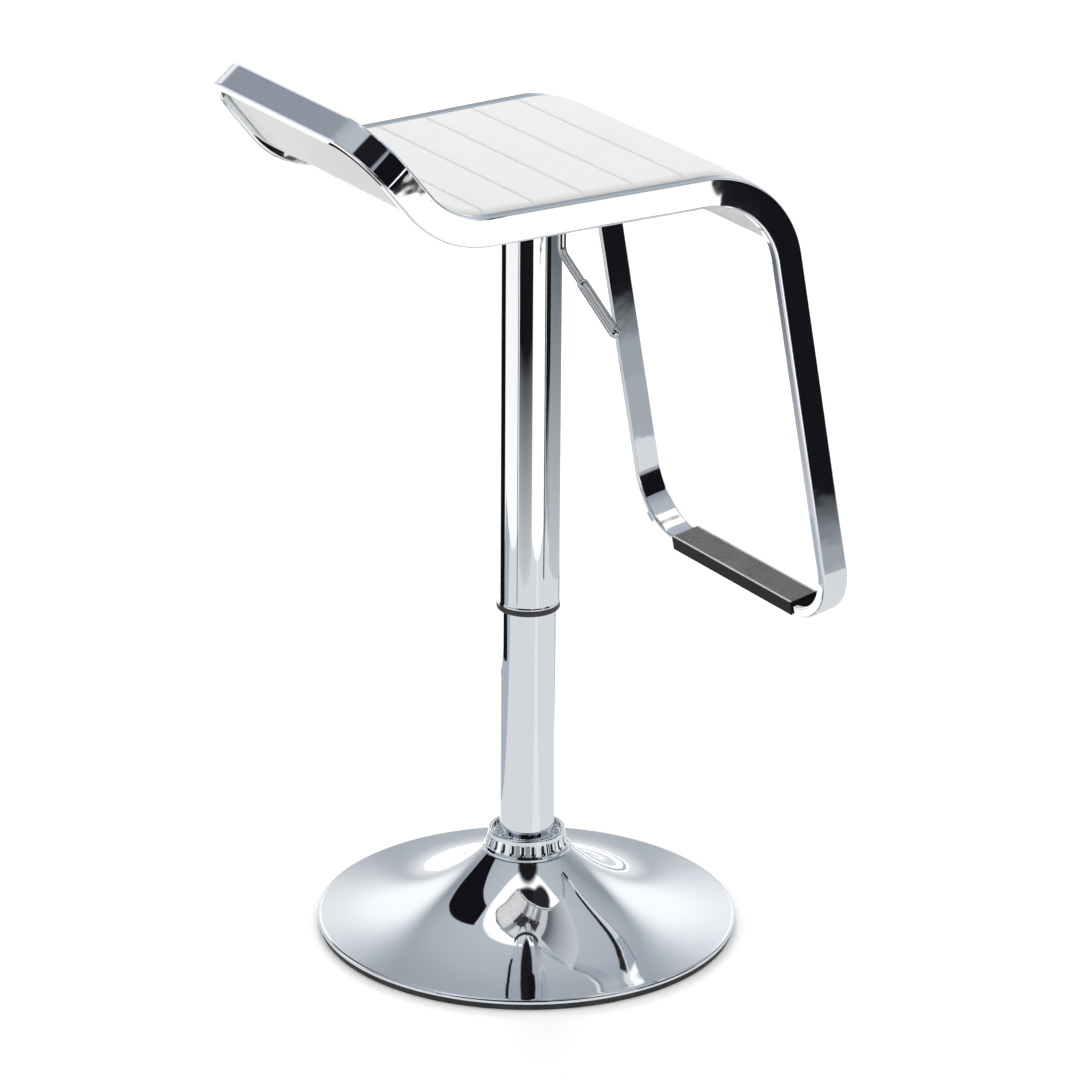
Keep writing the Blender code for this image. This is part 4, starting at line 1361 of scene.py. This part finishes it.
@dataclass
class ReleaseLever:
    """The cranked release lever and its sleeve."""

    column: Vector
    radius: float = 3.8 * MM
    height: float = 705.0 * MM
    inner: float = 4.0 * MM
    drop_reach: float = 52.0 * MM
    knee_height: float = 661.0 * MM
    slope: float = radians(29.5)
    slant: float = 100.0 * MM
    bend_radius: float = 10.0 * MM
    sides: int = 32
    grip_radius: float = 5.2 * MM
    grip_length: float = 66.0 * MM
    grip_past: float = 4.3 * MM

    def path(self) -> list[Vector]:
        """The rod's middle line, in the column's XZ plane.

        Returns:
            Its points, from the hub outwards.
        """
        way = Vector((-cos(self.slope), -sin(self.slope)))
        knee = Vector((-self.drop_reach, self.knee_height))
        end = knee + way * self.slant
        corners = [(self.inner, self.height, 0.0), (-self.drop_reach, self.height, self.bend_radius),
                   (knee.x, knee.y, self.bend_radius), (end.x, end.y, 0.0)]
        flat = rounded_outline(corners, 14, closed=False)
        return [Vector((self.column.x + x, self.column.y, z)) for x, z in flat]

    def build(self) -> None:
        """Build the rod and its sleeve."""
        path = self.path()
        loops = []
        for i, point in enumerate(path):
            along = (path[min(i + 1, len(path) - 1)] - path[max(i - 1, 0)]).normalized()
            side = Vector((0, 1, 0))
            up = along.cross(side)
            loops.append([point + side * (self.radius * cos(a)) + up * (self.radius * sin(a))
                          for a in spread(0, 2 * pi, self.sides)[:-1]])
        shape = skin(loops)
        new_piece("cranked_rod", shape, DARK_CHROME, Body.LEVER, ["lever_rod"])
        self.build_grip(path[-1], (path[-1] - path[-2]).normalized())

    def build_grip(self, end: Vector, way: Vector) -> None:
        """The sleeve on the rod's outer end, rolled at its mouth and domed at its tip.

        Args:
            end: the rod's end.
            way: direction of the rod there.
        """
        tip = end + way * self.grip_past
        r = self.grip_radius
        length = self.grip_length
        bore = self.radius + 0.3 * MM
        stations = [(0.0, bore), (0.0, r - 0.9 * MM), (0.35 * MM, r - 0.3 * MM), (1.0 * MM, r),
                    (2.6 * MM, r), (3.1 * MM, r - 0.35 * MM), (3.6 * MM, r)]
        stations += [(s, r) for s in spread(8 * MM, length - r - 1 * MM, 6)]
        stations += [(length - r + r * sin(a), max(r * cos(a), 0.02 * MM)) for a in spread(0, pi / 2, 10)]
        side = Vector((0, 1, 0))
        up = way.cross(side)
        loops = [[tip - way * (length - s) + side * (q * cos(a)) + up * (q * sin(a))
                  for a in spread(0, 2 * pi, self.sides)[:-1]] for s, q in stations]
        shape = skin(loops)
        new_piece("sleeve_grip", shape, DARK_CHROME, Body.LEVER, ["lever_grip"])


# -------------------------------------------------------------- carried pieces


@dataclass(frozen=True)
class CarriedOver:
    """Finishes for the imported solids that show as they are."""

    finishes: tuple[tuple[Finish, tuple[str, ...]], ...] = (
        (POWDER_COAT, ("ballast_ring", "gas_cylinder", "seat_hub", "seat_plate")),
        (STEEL, ("neck_plate", "column_nut", "tube_end_plate", "lower_race", "ball_cage", "piston_rod",
                 "piston", "upper_race", "rod_washer", "retaining_clip", "pivot_pin", "front_rail",
                 "rear_rail", "seat_bolt_1", "seat_bolt_2", "seat_bolt_3", "seat_bolt_4", "valve_pin")),
        (WHITE_PLASTIC, ("guide_bush",)),
        (BLACK_PLASTIC, ("cylinder_gland",)),
        (RUBBER, ("rubber_buffer",)),
    )

    def dress(self) -> None:
        """Give each solid its finish."""
        for finish, names in self.finishes:
            for name in names:
                node = frame["nodes"][name]
                node.data.materials.clear()
                node.data.materials.append(finish.material())
                log.info("%s: kept, %s", name, finish.name)


# --------------------------------------------------------------------- studio


def flat_sheet(name: str, corners: Corners) -> bpy.types.Object:
    """A flat four-cornered sheet of the studio.

    Args:
        name: its name.
        corners: its corners, going round.

    Returns:
        The new object.
    """
    mesh = bpy.data.meshes.new(name)
    mesh.from_pydata(corners, [], [(0, 1, 2, 3)])
    sheet = bpy.data.objects.new(name, mesh)
    bpy.context.scene.collection.objects.link(sheet)
    return sheet


@dataclass(frozen=True)
class Card:
    """A reflector or flag that only the chrome sees."""

    name: str
    centre: tuple[float, float, float]
    width: float
    height: float
    glow: Colour
    facing: tuple[float, float, float] = (0.0, 0.0, 0.45)
    fade: Colour | None = None
    fade_share: tuple[float, float] = (0.0, 0.2)


@dataclass(frozen=True)
class FloorPatch:
    """A flat patch of the floor as the chrome sees it: its corners in X and Y."""

    name: str
    span: tuple[float, float, float, float]
    height: float
    glow: Colour


@dataclass(frozen=True)
class Glow:
    """A soft round patch of the sky that only the chrome sees. Angles in degrees."""

    azimuth: float
    elevation: float
    inner: float
    outer: float
    colour: Colour


@dataclass
class Studio:
    """Floor, sky, soft lights, reflectors and camera."""

    column: Vector
    yaw: float = radians(31.87)
    pitch: float = radians(20.88)
    roll: float = -0.007
    lens: float = 175.3
    eye: tuple[float, float, float] = (-3.7545, 2.3222, 2.0594)
    floor_size: float = 60.0
    soft_light: float = 0.92
    cards: list[Card] = field(default_factory=list)
    glows: list[Glow] = field(default_factory=list)
    patches: list[FloorPatch] = field(default_factory=list)

    def build(self) -> None:
        """Build everything that isn't the stool."""
        self.build_floor()
        self.build_world()
        self.build_lights()
        for card in self.cards:
            self.build_card(card)
        for patch in self.patches:
            self.build_patch(patch)
        self.build_camera()
        bpy.context.scene.view_settings.view_transform = "Standard"

    def build_floor(self) -> None:
        """A plain pale floor."""
        h = self.floor_size / 2
        floor = flat_sheet("studio_floor", [(-h, -h, 0), (h, -h, 0), (h, h, 0), (-h, h, 0)])
        shader = Shader("floor_paper")
        speck = shader.noise(shader.place(), 3.0, 3.0)
        shader.wire(Base_Color=shader.mix(speck, (0.93, 0.93, 0.93), (0.95, 0.95, 0.95)))
        shader.fixed(Roughness=0.9)
        floor.data.materials.append(shader.material)

    def build_world(self) -> None:
        """A studio sky: even for soft light, banded for what the chrome mirrors."""
        world = bpy.data.worlds.new("studio_sky")
        bpy.context.scene.world = world
        world.use_nodes = True
        tree = world.node_tree
        tree.nodes.clear()
        new, join = tree.nodes.new, tree.links.new
        coords = new("ShaderNodeTexCoord")
        split = new("ShaderNodeSeparateXYZ")
        join(coords.outputs["Generated"], split.inputs[0])
        ramp = new("ShaderNodeValToRGB")
        points = ramp.color_ramp.elements
        while len(points) < len(SKY_STOPS):
            points.new(0.5)
        for point, (where, colour) in zip(points, SKY_STOPS):
            point.position = where
            point.color = (*colour, 1.0)
        join(split.outputs["Z"], ramp.inputs["Fac"])
        total = ramp.outputs["Color"]
        for glow in self.glows:
            total = self.add_glow(tree, coords.outputs["Generated"], total, glow)
        mirror = new("ShaderNodeBackground")
        join(total, mirror.inputs["Color"])
        soft = new("ShaderNodeBackground")
        soft.inputs["Color"].default_value = (1.0, 1.0, 1.0, 1.0)
        soft.inputs["Strength"].default_value = self.soft_light
        paths = new("ShaderNodeLightPath")
        choose = new("ShaderNodeMixShader")
        join(paths.outputs["Is Glossy Ray"], choose.inputs["Fac"])
        join(soft.outputs[0], choose.inputs[1])
        join(mirror.outputs[0], choose.inputs[2])
        out = new("ShaderNodeOutputWorld")
        join(choose.outputs[0], out.inputs["Surface"])

    def add_glow(self, tree: bpy.types.NodeTree, way: Socket, under: Socket,
                 glow: Glow) -> Socket:
        """Lay one soft bright or dark patch over the sky.

        Args:
            tree: the world's nodes.
            way: the direction that is looked in.
            under: the sky so far.
            glow: the patch.

        Returns:
            The sky with the patch.
        """
        turn, rise = radians(glow.azimuth), radians(glow.elevation)
        near = tree.nodes.new("ShaderNodeVectorMath")
        near.operation = "DOT_PRODUCT"
        near.inputs[1].default_value = (cos(turn) * cos(rise), sin(turn) * cos(rise), sin(rise))
        tree.links.new(way, near.inputs[0])
        share = tree.nodes.new("ShaderNodeMapRange")
        share.interpolation_type = "SMOOTHSTEP"
        share.inputs["From Min"].default_value = cos(radians(glow.outer))
        share.inputs["From Max"].default_value = cos(radians(glow.inner))
        tree.links.new(near.outputs["Value"], share.inputs["Value"])
        blend = tree.nodes.new("ShaderNodeMix")
        blend.data_type = "RGBA"
        colours = [i for i in blend.inputs if i.type == "RGBA"]
        colours[1].default_value = (*glow.colour, 1.0)
        tree.links.new(under, colours[0])
        tree.links.new(share.outputs["Result"], blend.inputs["Factor"])
        return next(o for o in blend.outputs if o.type == "RGBA")

    def add_light(self, name: str, place: Sequence[float], size: float, power: float) -> None:
        """A soft light aimed at the seat that the chrome doesn't mirror.

        Args:
            name: the light's name.
            place: where it stands.
            size: its side.
            power: watts.
        """
        light = bpy.data.lights.new(name, "AREA")
        light.shape = "SQUARE"
        light.size = size
        light.energy = power
        lamp = bpy.data.objects.new(name, light)
        bpy.context.scene.collection.objects.link(lamp)
        lamp.location = place
        lamp.rotation_mode = "QUATERNION"
        aim = Vector((0, 0, 0.55)) - Vector(place)
        lamp.rotation_quaternion = aim.to_track_quat("-Z", "Y")
        lamp.visible_glossy = False

    def build_lights(self) -> None:
        """Overhead and key."""
        self.add_light("overhead", (0.2, -0.2, 3.2), 3.0, 26.0)
        self.add_light("key", (2.6, -1.4, 2.0), 0.9, 30.0)

    def make_glow(self, sheet: bpy.types.Object, colour: Colour) -> tuple[bpy.types.NodeTree, bpy.types.Node]:
        """Make a sheet glow, and show it only to mirrors.

        Args:
            sheet: the sheet.
            colour: what it gives off.

        Returns:
            The material's nodes, and the one that glows.
        """
        material = bpy.data.materials.new(sheet.name)
        material.use_nodes = True
        tree = material.node_tree
        tree.nodes.clear()
        glow = tree.nodes.new("ShaderNodeEmission")
        glow.inputs["Color"].default_value = (*colour, 1.0)
        out = tree.nodes.new("ShaderNodeOutputMaterial")
        tree.links.new(glow.outputs[0], out.inputs["Surface"])
        sheet.data.materials.append(material)
        sheet.visible_camera = False
        sheet.visible_diffuse = False
        sheet.visible_shadow = False
        return tree, glow

    def build_card(self, card: Card) -> None:
        """A card that shines or stays dark, seen only in mirrors.

        Args:
            card: its place, size and glow.
        """
        w, h = card.width / 2, card.height / 2
        made = flat_sheet(card.name, [(-w, -h, 0), (w, -h, 0), (w, h, 0), (-w, h, 0)])
        made.location = card.centre
        made.rotation_mode = "QUATERNION"
        aim = Vector(card.facing) - Vector(card.centre)
        aim.z = 0.0 if abs(aim.x) + abs(aim.y) > 0.01 else aim.z
        made.rotation_quaternion = aim.to_track_quat("Z", "Y")
        tree, glow = self.make_glow(made, card.glow)
        if card.fade:
            coords = tree.nodes.new("ShaderNodeTexCoord")
            split = tree.nodes.new("ShaderNodeSeparateXYZ")
            ramp = tree.nodes.new("ShaderNodeValToRGB")
            tree.links.new(coords.outputs["Generated"], split.inputs[0])
            tree.links.new(split.outputs["Y"], ramp.inputs["Fac"])
            first, last = ramp.color_ramp.elements
            first.position, last.position = card.fade_share
            first.color = (*card.fade, 1.0)
            last.color = (*card.glow, 1.0)
            tree.links.new(ramp.outputs["Color"], glow.inputs["Color"])

    def build_patch(self, patch: FloorPatch) -> None:
        """A glowing patch just above the floor, seen only in mirrors.

        Args:
            patch: its place and glow.
        """
        x0, y0, x1, y1 = patch.span
        z = patch.height
        made = flat_sheet(patch.name, [(x0, y0, z), (x1, y0, z), (x1, y1, z), (x0, y1, z)])
        self.make_glow(made, patch.glow)

    def build_camera(self) -> None:
        """The camera, above and behind the sitter's right shoulder."""
        flat = Vector((cos(self.yaw), -sin(self.yaw), 0.0))
        side = Vector((-sin(self.yaw), -cos(self.yaw), 0.0))
        up = Vector((0, 0, 1))
        ahead = flat * cos(self.pitch) - up * sin(self.pitch)
        down = -flat * sin(self.pitch) - up * cos(self.pitch)
        right = side * cos(self.roll) + down * sin(self.roll)
        below = -side * sin(self.roll) + down * cos(self.roll)
        turn = Matrix((right, -below, -ahead)).transposed()
        data = bpy.data.cameras.new("stool_camera")
        data.lens = self.lens
        data.sensor_width = 36.0
        data.clip_end = 100.0
        camera = bpy.data.objects.new("stool_camera", data)
        bpy.context.scene.collection.objects.link(camera)
        x, y, z = self.eye
        camera.matrix_world = Matrix.Translation((x + self.column.x, y + self.column.y, z)) @ turn.to_4x4()
        bpy.context.scene.camera = camera


BLACK: Colour = (0.006, 0.006, 0.009)
WHITE: Colour = (1.25, 1.25, 1.25)

GREY: Colour = (0.36, 0.39, 0.43)
SKY_WHITE: Colour = (1.05, 1.07, 1.1)
SKY_BLACK: Colour = (0.01, 0.01, 0.012)

SKY_STOPS = [
    (0.0, (0.85, 0.87, 0.89)), (0.14, (0.50, 0.53, 0.57)), (0.30, GREY), (0.50, (0.29, 0.32, 0.37)),
    (0.72, (0.44, 0.48, 0.53)), (0.908, (0.50, 0.55, 0.60)), (0.916, (1.3, 1.3, 1.3)),
    (0.958, (1.3, 1.3, 1.3)), (0.966, SKY_BLACK), (1.0, SKY_BLACK),
]

STUDIO_CARDS = [
    Card("front_flag", (-0.9, -1.262, 0.48), 1.5, 0.96, BLACK, (1.0, -1.262, 0.48), GREY,
         (0.04, 0.115)),
    Card("front_flag_notch", (-0.89, -0.555, 0.452), 0.035, 0.02, WHITE, (1.0, -0.555, 0.452)),
    Card("shoulder_flag", (-1.2, -0.013, 0.945), 0.74, 1.0, BLACK, (1.0, -0.013, 0.945)),
    Card("shoulder_window", (-1.19, -0.21, 0.62), 0.05, 0.07, WHITE, (1.0, -0.21, 0.62)),
    Card("shoulder_window_low", (-1.19, -0.355, 0.475), 0.012, 0.02, WHITE, (1.0, -0.355, 0.475)),
    Card("rear_flag", (-0.64, 0.63, 0.42), 0.80, 0.84, BLACK, (0.0, 0.0, 0.42), (0.62, 0.65, 0.68),
         (0.0, 0.31)),
    Card("rear_stripe", (-0.245, 0.80, 0.35), 0.035, 0.7, BLACK, (0.0, 0.0, 0.35)),
    Card("left_flag", (0.22, 0.19, 0.38), 0.14, 0.46, BLACK, (0.0, 0.0, 0.38)),
    Card("right_stripe", (-0.82, -0.40, 0.2), 0.07, 0.4, BLACK, (0.0, 0.0, 0.2)),
    Card("front_grey", (-0.03, -0.125, 0.5), 0.20, 0.4, (0.13, 0.145, 0.17), (-0.03, 0.0, 0.5),
         (0.58, 0.61, 0.64), (0.0, 0.8)),
]

FLOOR_PATCHES = [
    FloorPatch("floor_far_glow", (-6.0, -3.5, -0.95, 2.5), 0.0008, (1.2, 1.2, 1.2)),
    FloorPatch("floor_near_light", (-0.98, -1.3, 0.28, 1.0), 0.0012, (0.73, 0.755, 0.78)),
    FloorPatch("floor_near_blue", (0.28, -1.3, 0.62, 1.0), 0.0012, (0.42, 0.48, 0.54)),
    FloorPatch("floor_base_glow", (0.19, -0.40, 0.60, 0.02), 0.0020, (1.15, 1.15, 1.15)),
    FloorPatch("floor_leg_shade", (-0.98, -1.3, -0.72, -0.70), 0.0016, (0.40, 0.43, 0.47)),
    FloorPatch("floor_stripe", (-0.98, -0.10, -0.22, 0.04), 0.0016, (0.84, 0.86, 0.88)),
]

SKY_GLOWS = [
    Glow(-10.0, 22.0, 5.0, 19.0, SKY_WHITE),
    Glow(-52.0, 22.0, 5.0, 19.0, SKY_WHITE),
    Glow(128.0, 22.0, 5.0, 19.0, SKY_WHITE),
    Glow(-130.0, 22.0, 5.0, 19.0, SKY_WHITE),
    Glow(38.0, 20.0, 5.0, 17.0, (0.95, 0.97, 1.0)),
    Glow(152.0, 50.0, 20.0, 25.0, (0.012, 0.012, 0.015)),
    Glow(-150.0, 76.0, 6.0, 9.0, (0.02, 0.02, 0.024)),
]


def column_place() -> Vector:
    """The column's place on the floor.

    Returns:
        A point on the swivel's axis.
    """
    swivel = next(j for j in frame["joints"] if j["name"] == "swivel")
    x, y, _ = swivel["pos_m"]
    return Vector((x, y, 0.0))


def main() -> None:
    """Build the stool's pieces, then the studio round it."""
    logging.basicConfig(level=logging.INFO, format="%(message)s")
    column = column_place()
    line = SideLine(column)
    Studio(column, cards=STUDIO_CARDS, glows=SKY_GLOWS, patches=FLOOR_PATCHES).build()
    TrumpetBase(column).build()
    LiftColumn(column).build()
    StripFrame(line).build()
    pad = SeatPad(line)
    pad.build()
    WrappedBoard(line, pad).build()
    ReleaseLever(column).build()
    CarriedOver().dress()


if __name__ == "__main__":
    main()
